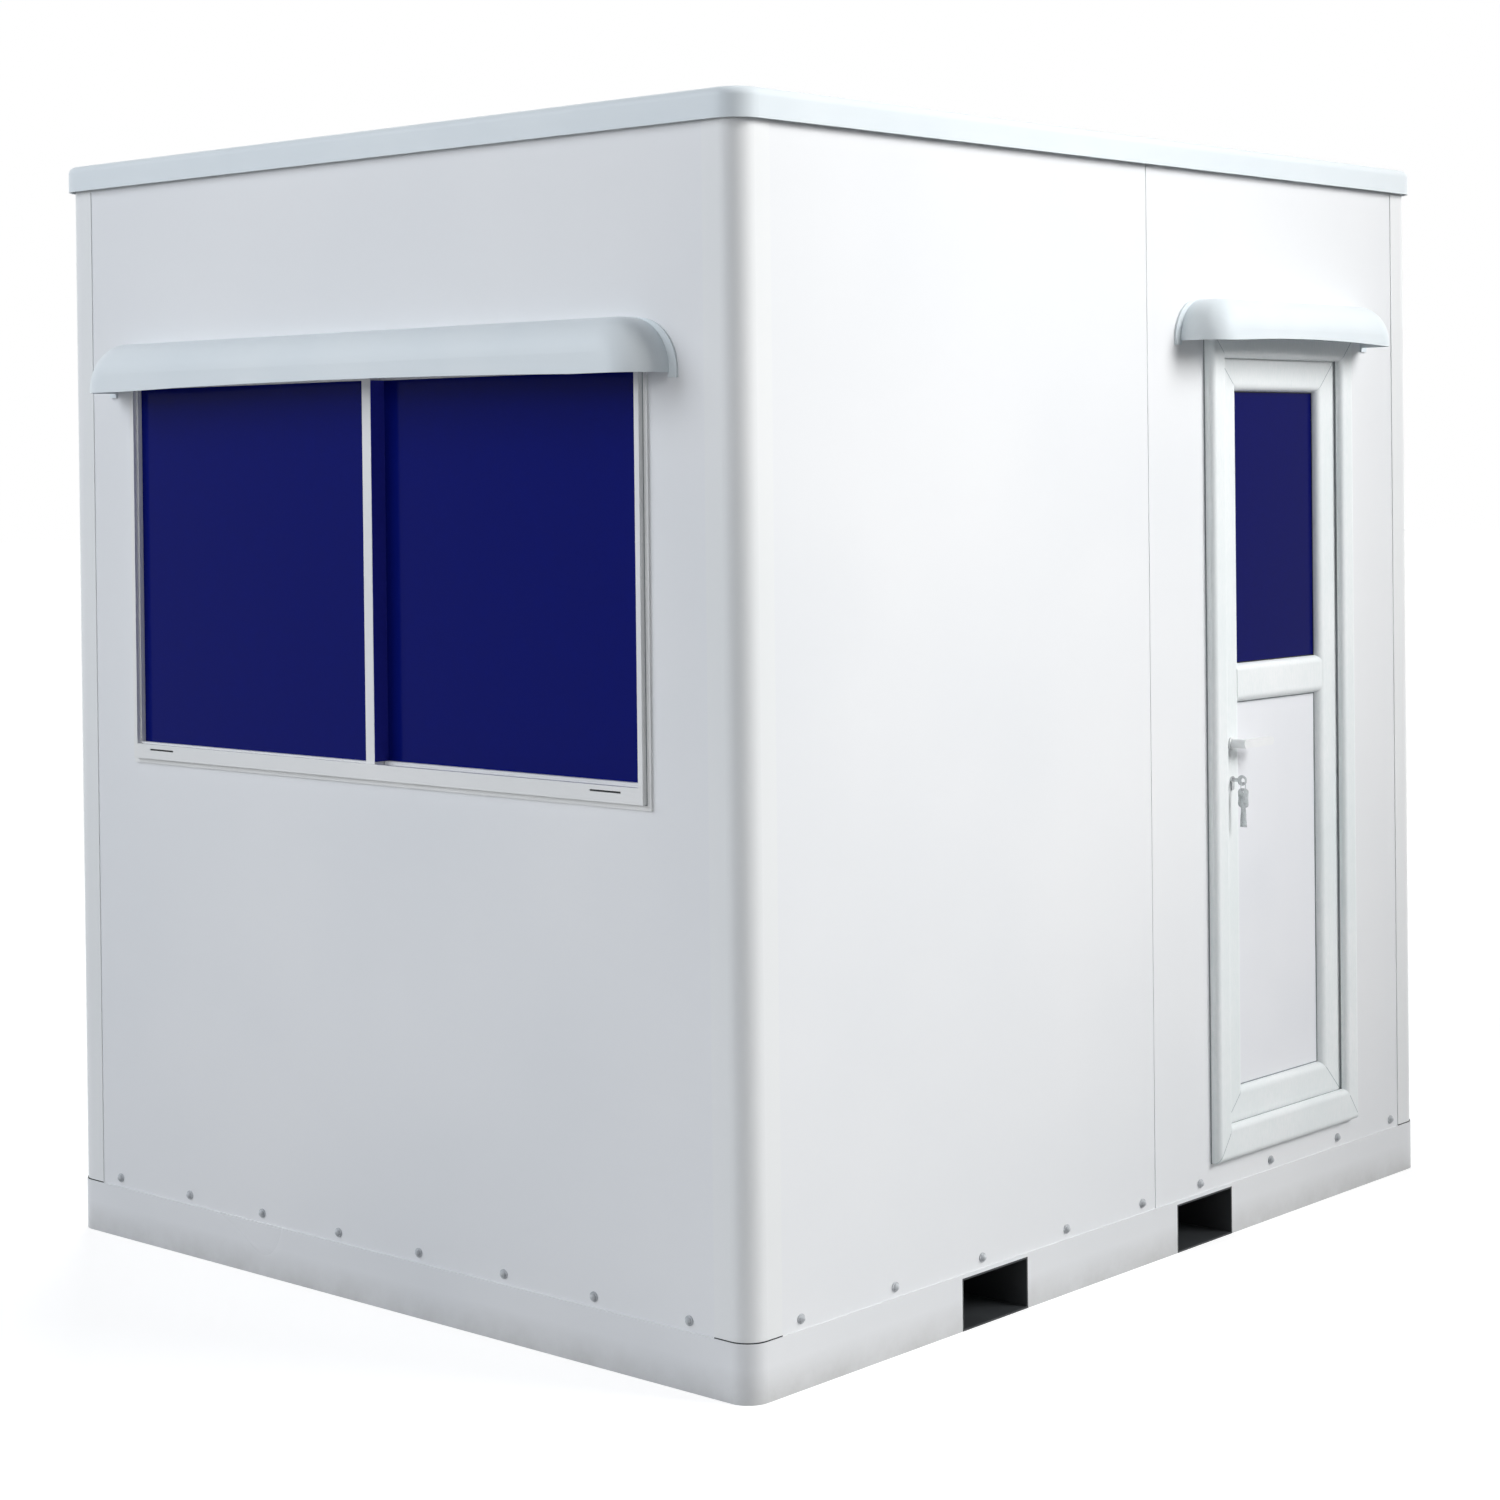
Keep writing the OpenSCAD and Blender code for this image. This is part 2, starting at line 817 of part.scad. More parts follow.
// Bar on one side of the door about height cz, turn 0 is the hinge side, 90 the top, 180 the lock side
module door_bar(turn, cz, reach, l, w, low, high) {
    translate([panel_x, door_y, cz])
        rotate([turn, 0, 0])
            translate([0, reach, 0])
                rotate([0, 0, -90])
                    mitred_bar(l, w, low, high)
                        children();
}

// Section of the door frame: body in the wall, lip in front of the leaf, rounded edges
module frame_section(extra) {
    face_w = frame_face_w + extra;
    lip_n = frame_proud - frame_lip_t;
    round_n = frame_proud - frame_edge_r;
    translate([0, -wall_t])
        square([frame_body_w + extra, wall_t + lip_n]);
    translate([0, lip_n])
        square([face_w, frame_lip_t - frame_edge_r]);
    translate([frame_edge_r, round_n])
        square([face_w - 2 * frame_edge_r, frame_edge_r]);
    translate([face_w - frame_edge_r, round_n])
        quarter(frame_edge_r);
    translate([frame_edge_r, round_n])
        mirror([1, 0])
            quarter(frame_edge_r);
}

// Section of the leaf bars: rounded towards the pane, drawn deeper at the back by behind
module leaf_section(behind) {
    face_n = leaf_x - panel_x;
    translate([0, face_n - leaf_t - behind])
        square([leaf_bar_w, leaf_t - leaf_edge_r + behind]);
    translate([0, face_n - leaf_edge_r])
        square([leaf_bar_w - leaf_edge_r, leaf_edge_r]);
    translate([leaf_bar_w - leaf_edge_r, face_n - leaf_edge_r])
        quarter(leaf_edge_r);
}

module door_frame_hinge_jamb() {
    color("white")
        door_bar(0, door_cz, door_w / 2, door_h, frame_face_w, frame_sill_w, frame_face_w)
            frame_section(0);
}

module door_frame_head() {
    color("white")
        door_bar(90, door_cz, door_h / 2, door_w, frame_face_w, frame_face_w, frame_face_w)
            frame_section(0);
}

module door_frame_lock_jamb() {
    color("white")
        door_bar(180, door_cz, door_w / 2, door_h, frame_face_w, frame_face_w, frame_sill_w)
            frame_section(0);
}

module door_frame_sill() {
    color("white")
        door_bar(270, door_cz, door_h / 2, door_w, frame_sill_w, frame_face_w, frame_face_w)
            frame_section(frame_sill_extra);
}

// Bar of the leaf, turned as above
module leaf_bar(turn, behind) {
    upright = turn % 180 == 0;
    door_bar(turn, leaf_cz, (upright ? leaf_w : leaf_h) / 2, upright ? leaf_h : leaf_w, leaf_bar_w,
        leaf_bar_w, leaf_bar_w)
        leaf_section(behind);
}

// Panel seated in the bars of the leaf between two heights of its clear opening
module leaf_fill(z0, z1) {
    half = leaf_w / 2 - leaf_bar_w + pane_bite;
    box([infill_x - infill_t, door_y - half, z0 - pane_bite],
        [infill_x, door_y + half, z1 + pane_bite]);
}

// Both fills, used to groove the bars
module leaf_fills() {
    door_pane_space();
    door_infill_space();
}

module door_pane_space() {
    leaf_fill(mid_rail_z + mid_rail_h, leaf_top_z - leaf_bar_w);
}

module door_infill_space() {
    leaf_fill(leaf_low_z + leaf_bar_w, mid_rail_z);
}

module leaf_hinge_stile() {
    color("white")
        difference() {
            leaf_bar(0, 0);
            leaf_fills();
        }
}

module leaf_top_rail() {
    color("white")
        difference() {
            leaf_bar(90, 0);
            leaf_fills();
        }
}

// Lock stile bored for the spindle and the lock cylinder
module leaf_lock_stile() {
    color("white")
        difference() {
            leaf_bar(180, 0);
            leaf_fills();
            leaf_disc(leaf_back_x - overrun, leaf_t + 2 * overrun, lever_z, spindle_r + spindle_clear);
            lock_cylinder(leaf_back_x - overrun, leaf_t + 2 * overrun);
        }
}

module leaf_bottom_rail() {
    color("white")
        difference() {
            leaf_bar(270, 0);
            leaf_fills();
        }
}

// Middle rail with rounded edges, its ends coped over the rounding of the stiles
module leaf_mid_rail() {
    half = leaf_w / 2 - leaf_bar_w + rail_cope_share * leaf_edge_r;
    color("white")
        difference() {
            translate([0, door_y + half, mid_rail_z])
                rotate([90, 0, 0])
                    linear_extrude(2 * half) {
                        translate([leaf_back_x, 0])
                            square([leaf_t - leaf_edge_r, mid_rail_h]);
                        translate([infill_x, leaf_edge_r])
                            square([leaf_edge_r, mid_rail_h - 2 * leaf_edge_r]);
                        translate([infill_x, mid_rail_h - leaf_edge_r])
                            quarter(leaf_edge_r);
                        translate([infill_x, leaf_edge_r])
                            mirror([0, 1])
                                quarter(leaf_edge_r);
                    }
            leaf_bar(0, overrun);
            leaf_bar(180, overrun);
            leaf_fills();
        }
}

module door_pane() {
    color("midnightblue")
        door_pane_space();
}

module door_infill() {
    color("whitesmoke")
        door_infill_space();
}

// Lower barrels with their pins and plates on the frame
module frame_hinges() {
    jamb_x = panel_x - wall_t;
    color("silver")
        for (z = hinge_zs) {
            translate([hinge_x, hinge_y, z - hinge_h / 2])
                cylinder(h = hinge_h / 2, r = barrel_r);
            translate([hinge_x, hinge_y, z - barrel_r])
                cylinder(h = hinge_h / 2, r = hinge_pin_r);
            box([jamb_x - hinge_plate_t, hinge_y, z - hinge_h / 2],
                [jamb_x, hinge_y + hinge_plate_w, z]);
        }
}

// Upper barrels with sleeves for the pins and plates on the leaf
module leaf_hinges() {
    color("silver")
        for (z = hinge_zs)
            difference() {
                union() {
                    translate([hinge_x, hinge_y, z + barrel_gap])
                        cylinder(h = hinge_h / 2 - barrel_gap, r = barrel_r);
                    box([leaf_back_x - hinge_plate_t, hinge_y - hinge_plate_w, z + barrel_gap],
                        [leaf_back_x, hinge_y, z + hinge_h / 2]);
                }
                translate([hinge_x, hinge_y, z - overrun])
                    cylinder(h = hinge_h / 2 - barrel_r + 2 * overrun, r = hinge_pin_r + hinge_clear);
            }
}

// Disc on a face of the leaf, from x0 outward by t
module leaf_disc(x0, t, z, r) {
    translate([x0, lever_y, z])
        rotate([0, 90, 0])
            cylinder(h = t, r = r);
}

// Outline of the lock cylinder: a round plug above a narrow stem with a round foot
module cylinder_outline() {
    foot_r = cylinder_stem_w / 2;
    circle(cylinder_r);
    translate([-foot_r, foot_r - cylinder_drop])
        square([cylinder_stem_w, cylinder_drop - foot_r]);
    for (turn = [180, 270])
        translate([0, foot_r - cylinder_drop])
            rotate(turn)
                quarter(foot_r);
}

// Length of the lock cylinder from x0 outward by l
module lock_cylinder(x0, l) {
    translate([x0, lever_y, cylinder_z])
        rotate([90, 0, 90])
            linear_extrude(l)
                cylinder_outline();
}

module lock_set() {
    color("silver")
        lock_cylinder(leaf_back_x - cylinder_proud, leaf_t + 2 * cylinder_proud);
}

// Grip of a lever, its inner face on X = 0 and its hub end at the spindle
module lever_grip() {
    rotate([0, 90, 0])
        linear_extrude(lever_t) {
            translate([-lever_h / 2, 0])
                square([lever_h, lever_l - lever_h / 2]);
            translate([0, lever_l - lever_h / 2])
                circle(lever_h / 2);
            circle(hub_r);
        }
}

// Outer and inner lever on one spindle
module lever_pair() {
    color("white") {
        leaf_disc(leaf_back_x - hub_clear, leaf_t + 2 * hub_clear, lever_z, spindle_r);
        leaf_disc(leaf_x + hub_clear, lever_reach, lever_z, hub_r);
        leaf_disc(leaf_x + hub_clear, collar_t, lever_z, collar_r);
        leaf_disc(leaf_back_x - hub_clear - lever_reach, lever_reach, lever_z, hub_r);
        leaf_disc(leaf_back_x - hub_clear - collar_t, collar_t, lever_z, collar_r);
        translate([leaf_x + lever_reach, lever_y, lever_z])
            lever_grip();
        translate([leaf_back_x - lever_reach - lever_t, lever_y, lever_z])
            lever_grip();
    }
}

// Flat key across the door, its ring hole at the origin and its blade running down
module hanging_key() {
    head_low = key_hole_edge - key_head_h;
    rotate([90, 0, 0])
        translate([0, 0, -key_t / 2])
            linear_extrude(key_t)
                difference() {
                    union() {
                        translate([0, key_hole_edge - key_head_h / 2])
                            round_rect(key_head_w, key_head_h, key_head_r);
                        translate([-key_blade_h / 2, head_low - key_blade_l])
                            square([key_blade_h, key_blade_l + key_head_r]);
                    }
                    circle(key_ring_hole_r);
                }
}

// Key in the lock, with a ring and two more keys hanging from its bow
module door_keys() {
    color("silver") {
        translate([key_x, lever_y, cylinder_z])
            rotate([90, 0, 0])
                translate([0, 0, -key_t / 2])
                    linear_extrude(key_t)
                        difference() {
                            union() {
                                circle(key_bow_r);
                                translate([-key_neck - key_bow_r, -key_blade_h / 2])
                                    square([key_neck + key_bow_r, key_blade_h]);
                            }
                            translate([key_hole_off, 0])
                                circle(key_hole_r);
                        }
        translate([ring_x, lever_y, ring_z])
            rotate([0, 90, 0])
                rotate_extrude()
                    translate([ring_r, 0])
                        circle(ring_wire_r);
        for (side = [-1, 1])
            translate([ring_x, lever_y + side * key_t * key_spread_share,
                ring_z - ring_r + ring_wire_r - key_seat - key_ring_hole_r])
                rotate([0, side * key_splay, 0])
                    hanging_key();
    }
}

base_rail_front();
base_rail_back();
base_rail_right();
base_rail_left();
fork_tunnel_front();
fork_tunnel_rear();
floor_joists();
floor_deck();
front_wall();
back_wall();
right_wall_panel();
door_wall_front_strip();
door_wall_rear_strip();
door_wall_header();
door_wall_sill();
left_wall_front_panel();
left_wall_rear_panel();
post_front_right();
post_back_right();
post_back_left();
post_front_left();
roof_panel();
roof_cap();
window_frame();
window_sash_left();
window_sash_right();
window_panes();
window_hood();
door_hood();
door_frame_head();
door_frame_sill();
door_frame_lock_jamb();
door_frame_hinge_jamb();
leaf_lock_stile();
leaf_hinge_stile();
leaf_top_rail();
leaf_mid_rail();
leaf_bottom_rail();
door_pane();
door_infill();
frame_hinges();
leaf_hinges();
lock_set();
lever_pair();
door_keys();
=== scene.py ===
"""Looks of a prefabricated security guard booth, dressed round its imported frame."""

import logging
import math
from dataclasses import dataclass
from enum import Enum
from typing import Any, Optional, Sequence

import bmesh
import bpy
from mathutils import Matrix, Vector


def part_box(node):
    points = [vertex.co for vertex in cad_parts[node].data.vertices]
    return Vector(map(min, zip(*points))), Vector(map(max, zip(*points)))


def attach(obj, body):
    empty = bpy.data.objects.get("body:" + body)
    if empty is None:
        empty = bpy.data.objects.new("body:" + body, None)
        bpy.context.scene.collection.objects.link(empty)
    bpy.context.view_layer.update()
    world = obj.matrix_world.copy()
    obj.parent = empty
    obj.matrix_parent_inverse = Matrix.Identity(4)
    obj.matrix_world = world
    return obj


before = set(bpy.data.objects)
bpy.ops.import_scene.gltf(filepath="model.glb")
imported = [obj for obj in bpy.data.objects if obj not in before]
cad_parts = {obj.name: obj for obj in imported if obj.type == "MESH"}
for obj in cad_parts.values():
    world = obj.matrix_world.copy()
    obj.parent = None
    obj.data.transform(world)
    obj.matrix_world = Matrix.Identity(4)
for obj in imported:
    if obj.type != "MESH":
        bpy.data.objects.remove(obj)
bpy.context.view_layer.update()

LOG = logging.getLogger("booth")
MM = 0.001
WHITE = (1.0, 1.0, 1.0, 1.0)
# Corners of a rectangle in order round it, as shares of its half width and half height.
CORNERS = ((-1, -1), (1, -1), (1, 1), (-1, 1))
# Sockets of the colour Mix node: its share, first and second colour, and among its outputs the result.
SHARE, FIRST, SECOND, MIXED = 0, 6, 7, 2


class Body(Enum):
    """Rigid bodies of the booth that carry the added pieces."""

    BOOTH = "booth"
    DOOR = "door"


class Wall(Enum):
    """Outer walls, each with its outward direction."""

    WINDOW = (0.0, -1.0)
    DOOR = (1.0, 0.0)
    BACK = (0.0, 1.0)
    PLAIN = (-1.0, 0.0)


def linear(code: str) -> tuple[float, float, float, float]:
    """Turn an sRGB hex colour into linear values.

    Args:
        code: Colour as six hex digits with a leading hash.

    Returns:
        Linear red, green and blue, and an alpha of one.
    """
    parts = [int(code[k : k + 2], 16) / 255 for k in (1, 3, 5)]
    low = [c / 12.92 if c <= 0.04045 else ((c + 0.055) / 1.055) ** 2.4 for c in parts]
    return (low[0], low[1], low[2], 1.0)


def per_metre(size_mm: float) -> float:
    """Pattern scale in repeats per metre for a feature of a size in millimetres."""
    return 1.0 / (size_mm * MM)


def add_node(tree: Any, kind: str, inputs: Optional[dict] = None, **settings: Any) -> Any:
    """Add a node with its settings, values and links.

    Args:
        tree: Node tree that takes the node.
        kind: Blender's type name of the node.
        inputs: Socket name or number to a value, or to an output socket to link.
        settings: Properties of the node itself.

    Returns:
        The new node.
    """
    node = tree.nodes.new(kind)
    for name, value in settings.items():
        setattr(node, name, value)
    for key, value in (inputs or {}).items():
        if isinstance(value, bpy.types.NodeSocket):
            tree.links.new(value, node.inputs[key])
        else:
            node.inputs[key].default_value = value
    return node


def new_material(name: str) -> tuple[Any, Any, Any]:
    """Start an empty material.

    Args:
        name: Name of the real material and its surface.

    Returns:
        The material, its node tree and the Object coordinate socket.
    """
    made = bpy.data.materials.new(name)
    made.use_nodes = True
    tree = made.node_tree
    tree.nodes.clear()
    place = add_node(tree, "ShaderNodeTexCoord")
    return made, tree, place.outputs["Object"]


def background_rays(tree: Any) -> Any:
    """Tell the rays that show the background from those that light the booth.

    Args:
        tree: Node tree of the world or the floor.

    Returns:
        Socket that is one for rays from the camera, off gloss and through glass, and zero for others.
    """
    path = add_node(tree, "ShaderNodeLightPath").outputs
    seen = path["Is Camera Ray"]
    for name in ("Is Glossy Ray", "Is Transmission Ray"):
        seen = add_node(tree, "ShaderNodeMath", {0: seen, 1: path[name]}, operation="MAXIMUM").outputs[0]
    return seen


def close_material(tree: Any, shader: Any) -> None:
    """Link a shader to the material's output."""
    add_node(tree, "ShaderNodeOutputMaterial", {"Surface": shader.outputs[0]})


# Peel, grain and drawn lines are too fine to show at this size, so they are drawn coarser than real ones.
@dataclass(frozen=True)
class Finish:
    """Real material with its surface, made once and then reused."""

    name: str

    def shader(self, tree: Any, place: Any) -> Any:
        """Build the nodes of the surface.

        Args:
            tree: Node tree of the material.
            place: Object coordinate socket.

        Returns:
            The shader node.
        """
        raise NotImplementedError

    def material(self) -> Any:
        """Build the material.

        Returns:
            The material, made once and then reused.
        """
        if self.name in bpy.data.materials:
            return bpy.data.materials[self.name]
        made, tree, place = new_material(self.name)
        close_material(tree, self.shader(tree, place))
        return made


@dataclass(frozen=True)
class SmoothSheet(Finish):
    """Smooth sheet, paint or moulding: faint clouds of tone, fine orange peel and uneven gloss."""

    colour: str
    shade: str
    roughness: float
    cloud_mm: float = 700.0
    peel_mm: float = 9.0
    peel_depth_mm: float = 0.05
    coat: float = 0.0
    coat_roughness: float = 0.12
    gloss_swing: tuple[float, float] = (-0.04, 0.05)
    cloud_range: tuple[float, float] = (0.2, 0.8)
    grime_top_mm: float = 0.0
    grime_mm: float = 90.0
    grime_most: float = 0.55
    grime: str = "#8F8C84"

    def shader(self, tree: Any, place: Any) -> Any:
        """Build the nodes of the surface.

        Args:
            tree: Node tree of the material.
            place: Object coordinate socket.

        Returns:
            The shader node.
        """
        cloud = add_node(tree, "ShaderNodeTexNoise",
                         {"Vector": place, "Scale": per_metre(self.cloud_mm), "Detail": 2.0,
                          "Roughness": 0.45})
        spread = {"Value": cloud.outputs["Fac"], "From Min": self.cloud_range[0],
                  "From Max": self.cloud_range[1]}
        amount = add_node(tree, "ShaderNodeMapRange", spread, interpolation_type="SMOOTHSTEP")
        tone = add_node(tree, "ShaderNodeMix",
                        {SHARE: amount.outputs[0], FIRST: linear(self.colour), SECOND: linear(self.shade)},
                        data_type="RGBA")
        colour = tone.outputs[MIXED]
        if self.grime_top_mm > 0:
            height = add_node(tree, "ShaderNodeSeparateXYZ", {"Vector": place})
            streak = add_node(tree, "ShaderNodeTexNoise",
                              {"Vector": place, "Scale": per_metre(self.grime_mm), "Detail": 6.0,
                               "Roughness": 0.65})
            fade = add_node(tree, "ShaderNodeMapRange",
                            {"Value": height.outputs["Z"], "From Min": 0.0,
                             "From Max": self.grime_top_mm * MM, "To Min": self.grime_most, "To Max": 0.0})
            spots = add_node(tree, "ShaderNodeMath",
                             {0: fade.outputs[0], 1: streak.outputs["Fac"]}, operation="MULTIPLY")
            dirt = add_node(tree, "ShaderNodeMix",
                            {SHARE: spots.outputs[0], FIRST: colour, SECOND: linear(self.grime)},
                            data_type="RGBA")
            colour = dirt.outputs[MIXED]
        peel = add_node(tree, "ShaderNodeTexNoise",
                        {"Vector": place, "Scale": per_metre(self.peel_mm), "Detail": 2.0})
        bump = add_node(tree, "ShaderNodeBump",
                        {"Height": peel.outputs["Fac"], "Strength": 0.5, "Distance": self.peel_depth_mm * MM})
        gloss = add_node(tree, "ShaderNodeMapRange",
                         {**spread, "To Min": self.roughness + self.gloss_swing[0],
                          "To Max": self.roughness + self.gloss_swing[1]},
                         interpolation_type="SMOOTHSTEP")
        return add_node(tree, "ShaderNodeBsdfPrincipled",
                        {"Base Color": colour, "Roughness": gloss.outputs[0], "IOR": 1.5,
                         "Coat Weight": self.coat, "Coat Roughness": self.coat_roughness,
                         "Normal": bump.outputs[0]})


@dataclass(frozen=True)
class GrainedPlastic(Finish):
    """Foil-grained white PVC: short upright grain that breaks the sheen, with painted shade in a cool green
    tone in the hollows of the grain.
    """

    colour: str
    # Cool green colour of the grain's hollows, a painted shade.
    shade: str
    roughness: float = 0.4
    grain_mm: float = 3.0
    grain_long: float = 6.0
    grain_depth_mm: float = 0.12
    cloud_mm: float = 260.0
    gloss_swing: tuple[float, float] = (-0.07, 0.08)

    def shader(self, tree: Any, place: Any) -> Any:
        """Build the nodes of the surface.

        Args:
            tree: Node tree of the material.
            place: Object coordinate socket.

        Returns:
            The shader node.
        """
        stretch = add_node(tree, "ShaderNodeMapping",
                           {"Vector": place, "Scale": (1.0, 1.0, 1.0 / self.grain_long)})
        grain = add_node(tree, "ShaderNodeTexNoise",
                         {"Vector": stretch.outputs[0], "Scale": per_metre(self.grain_mm), "Detail": 3.0,
                          "Roughness": 0.6})
        cloud = add_node(tree, "ShaderNodeTexNoise",
                         {"Vector": place, "Scale": per_metre(self.cloud_mm), "Detail": 3.0})
        weight = add_node(tree, "ShaderNodeMath",
                          {0: grain.outputs["Fac"], 1: cloud.outputs["Fac"]}, operation="MULTIPLY")
        amount = add_node(tree, "ShaderNodeMapRange",
                          {"Value": weight.outputs[0], "From Min": 0.12, "From Max": 0.42})
        # Painted shade: the hollows of the grain take the cool green shade colour.
        tone = add_node(tree, "ShaderNodeMix",
                        {SHARE: amount.outputs[0], FIRST: linear(self.shade), SECOND: linear(self.colour)},
                        data_type="RGBA")
        bump = add_node(tree, "ShaderNodeBump",
                        {"Height": grain.outputs["Fac"], "Strength": 0.45,
                         "Distance": self.grain_depth_mm * MM})
        gloss = add_node(tree, "ShaderNodeMapRange",
                         {"Value": grain.outputs["Fac"], "From Min": 0.3, "From Max": 0.7,
                          "To Min": self.roughness + self.gloss_swing[0],
                          "To Max": self.roughness + self.gloss_swing[1]})
        return add_node(tree, "ShaderNodeBsdfPrincipled",
                        {"Base Color": tone.outputs[MIXED], "Roughness": gloss.outputs[0], "IOR": 1.53,
                         "Normal": bump.outputs[0]})


@dataclass(frozen=True)
class FilmedGlass(Finish):
    """Float glass under dark blue solar film: deep even colour, faint ripple, a trace of dust."""

    colour: str
    edge: str
    ripple_mm: float = 320.0
    ripple_depth_mm: float = 0.4
    dust_mm: float = 40.0
    dust_most: float = 0.35
    roughness: tuple[float, float] = (0.1, 0.2)
    mirror: float = 0.04

    def shader(self, tree: Any, place: Any) -> Any:
        """Build the nodes of the surface.

        Args:
            tree: Node tree of the material.
            place: Object coordinate socket.

        Returns:
            The shader node.
        """
        ripple = add_node(tree, "ShaderNodeTexNoise",
                          {"Vector": place, "Scale": per_metre(self.ripple_mm), "Detail": 1.0})
        dust = add_node(tree, "ShaderNodeTexNoise",
                        {"Vector": place, "Scale": per_metre(self.dust_mm), "Detail": 6.0, "Roughness": 0.7})
        amount = add_node(tree, "ShaderNodeMapRange",
                          {"Value": dust.outputs["Fac"], "From Min": 0.45, "From Max": 0.9,
                           "To Max": self.dust_most})
        tone = add_node(tree, "ShaderNodeMix",
                        {SHARE: amount.outputs[0], FIRST: linear(self.colour), SECOND: linear(self.edge)},
                        data_type="RGBA")
        bump = add_node(tree, "ShaderNodeBump",
                        {"Height": ripple.outputs["Fac"], "Strength": 0.2,
                         "Distance": self.ripple_depth_mm * MM})
        gloss = add_node(tree, "ShaderNodeMapRange",
                         {"Value": dust.outputs["Fac"], "From Min": 0.3, "From Max": 0.8,
                          "To Min": self.roughness[0], "To Max": self.roughness[1]})
        return add_node(tree, "ShaderNodeBsdfPrincipled",
                        {"Base Color": tone.outputs[MIXED], "Roughness": gloss.outputs[0], "IOR": 1.5,
                         "Specular IOR Level": self.mirror, "Normal": bump.outputs[0]})


@dataclass(frozen=True)
class Metal(Finish):
    """Plated or bare metal: fine drawn lines in the gloss and small dull spots."""

    colour: str
    dull: str
    roughness: float
    metallic: float = 1.0
    line_mm: float = 0.8
    line_squeeze: float = 0.06
    line_depth_mm: float = 0.05
    spot_mm: float = 14.0
    gloss_swing: tuple[float, float] = (-0.08, 0.1)

    def shader(self, tree: Any, place: Any) -> Any:
        """Build the nodes of the surface.

        Args:
            tree: Node tree of the material.
            place: Object coordinate socket.

        Returns:
            The shader node.
        """
        stretch = add_node(tree, "ShaderNodeMapping",
                           {"Vector": place, "Scale": (1.0, 1.0, self.line_squeeze)})
        lines = add_node(tree, "ShaderNodeTexNoise",
                         {"Vector": stretch.outputs[0], "Scale": per_metre(self.line_mm), "Detail": 2.0})
        spots = add_node(tree, "ShaderNodeTexNoise",
                         {"Vector": place, "Scale": per_metre(self.spot_mm), "Detail": 5.0,
                          "Roughness": 0.65})
        amount = add_node(tree, "ShaderNodeMapRange",
                          {"Value": spots.outputs["Fac"], "From Min": 0.45, "From Max": 0.75})
        tone = add_node(tree, "ShaderNodeMix",
                        {SHARE: amount.outputs[0], FIRST: linear(self.colour), SECOND: linear(self.dull)},
                        data_type="RGBA")
        gloss = add_node(tree, "ShaderNodeMapRange",
                         {"Value": lines.outputs["Fac"], "From Min": 0.3, "From Max": 0.7,
                          "To Min": self.roughness + self.gloss_swing[0],
                          "To Max": self.roughness + self.gloss_swing[1]})
        bump = add_node(tree, "ShaderNodeBump",
                        {"Height": lines.outputs["Fac"], "Strength": 0.15,
                         "Distance": self.line_depth_mm * MM})
        return add_node(tree, "ShaderNodeBsdfPrincipled",
                        {"Base Color": tone.outputs[MIXED], "Roughness": gloss.outputs[0],
                         "Metallic": self.metallic, "Normal": bump.outputs[0]})


@dataclass(frozen=True)
class Rubber(Finish):
    """Rubber, sealant or pile of a seal: dull and even, with a powdery bloom in patches."""

    colour: str
    bloom: str
    roughness: float = 0.75
    bloom_mm: float = 35.0
    bloom_depth_mm: float = 0.1

    def shader(self, tree: Any, place: Any) -> Any:
        """Build the nodes of the surface.

        Args:
            tree: Node tree of the material.
            place: Object coordinate socket.

        Returns:
            The shader node.
        """
        cloud = add_node(tree, "ShaderNodeTexNoise",
                         {"Vector": place, "Scale": per_metre(self.bloom_mm), "Detail": 5.0,
                          "Roughness": 0.6})
        amount = add_node(tree, "ShaderNodeMapRange",
                          {"Value": cloud.outputs["Fac"], "From Min": 0.4, "From Max": 0.8})
        tone = add_node(tree, "ShaderNodeMix",
                        {SHARE: amount.outputs[0], FIRST: linear(self.colour), SECOND: linear(self.bloom)},
                        data_type="RGBA")
        bump = add_node(tree, "ShaderNodeBump",
                        {"Height": cloud.outputs["Fac"], "Strength": 0.3,
                         "Distance": self.bloom_depth_mm * MM})
        return add_node(tree, "ShaderNodeBsdfPrincipled",
                        {"Base Color": tone.outputs[MIXED], "Roughness": self.roughness, "IOR": 1.52,
                         "Normal": bump.outputs[0]})


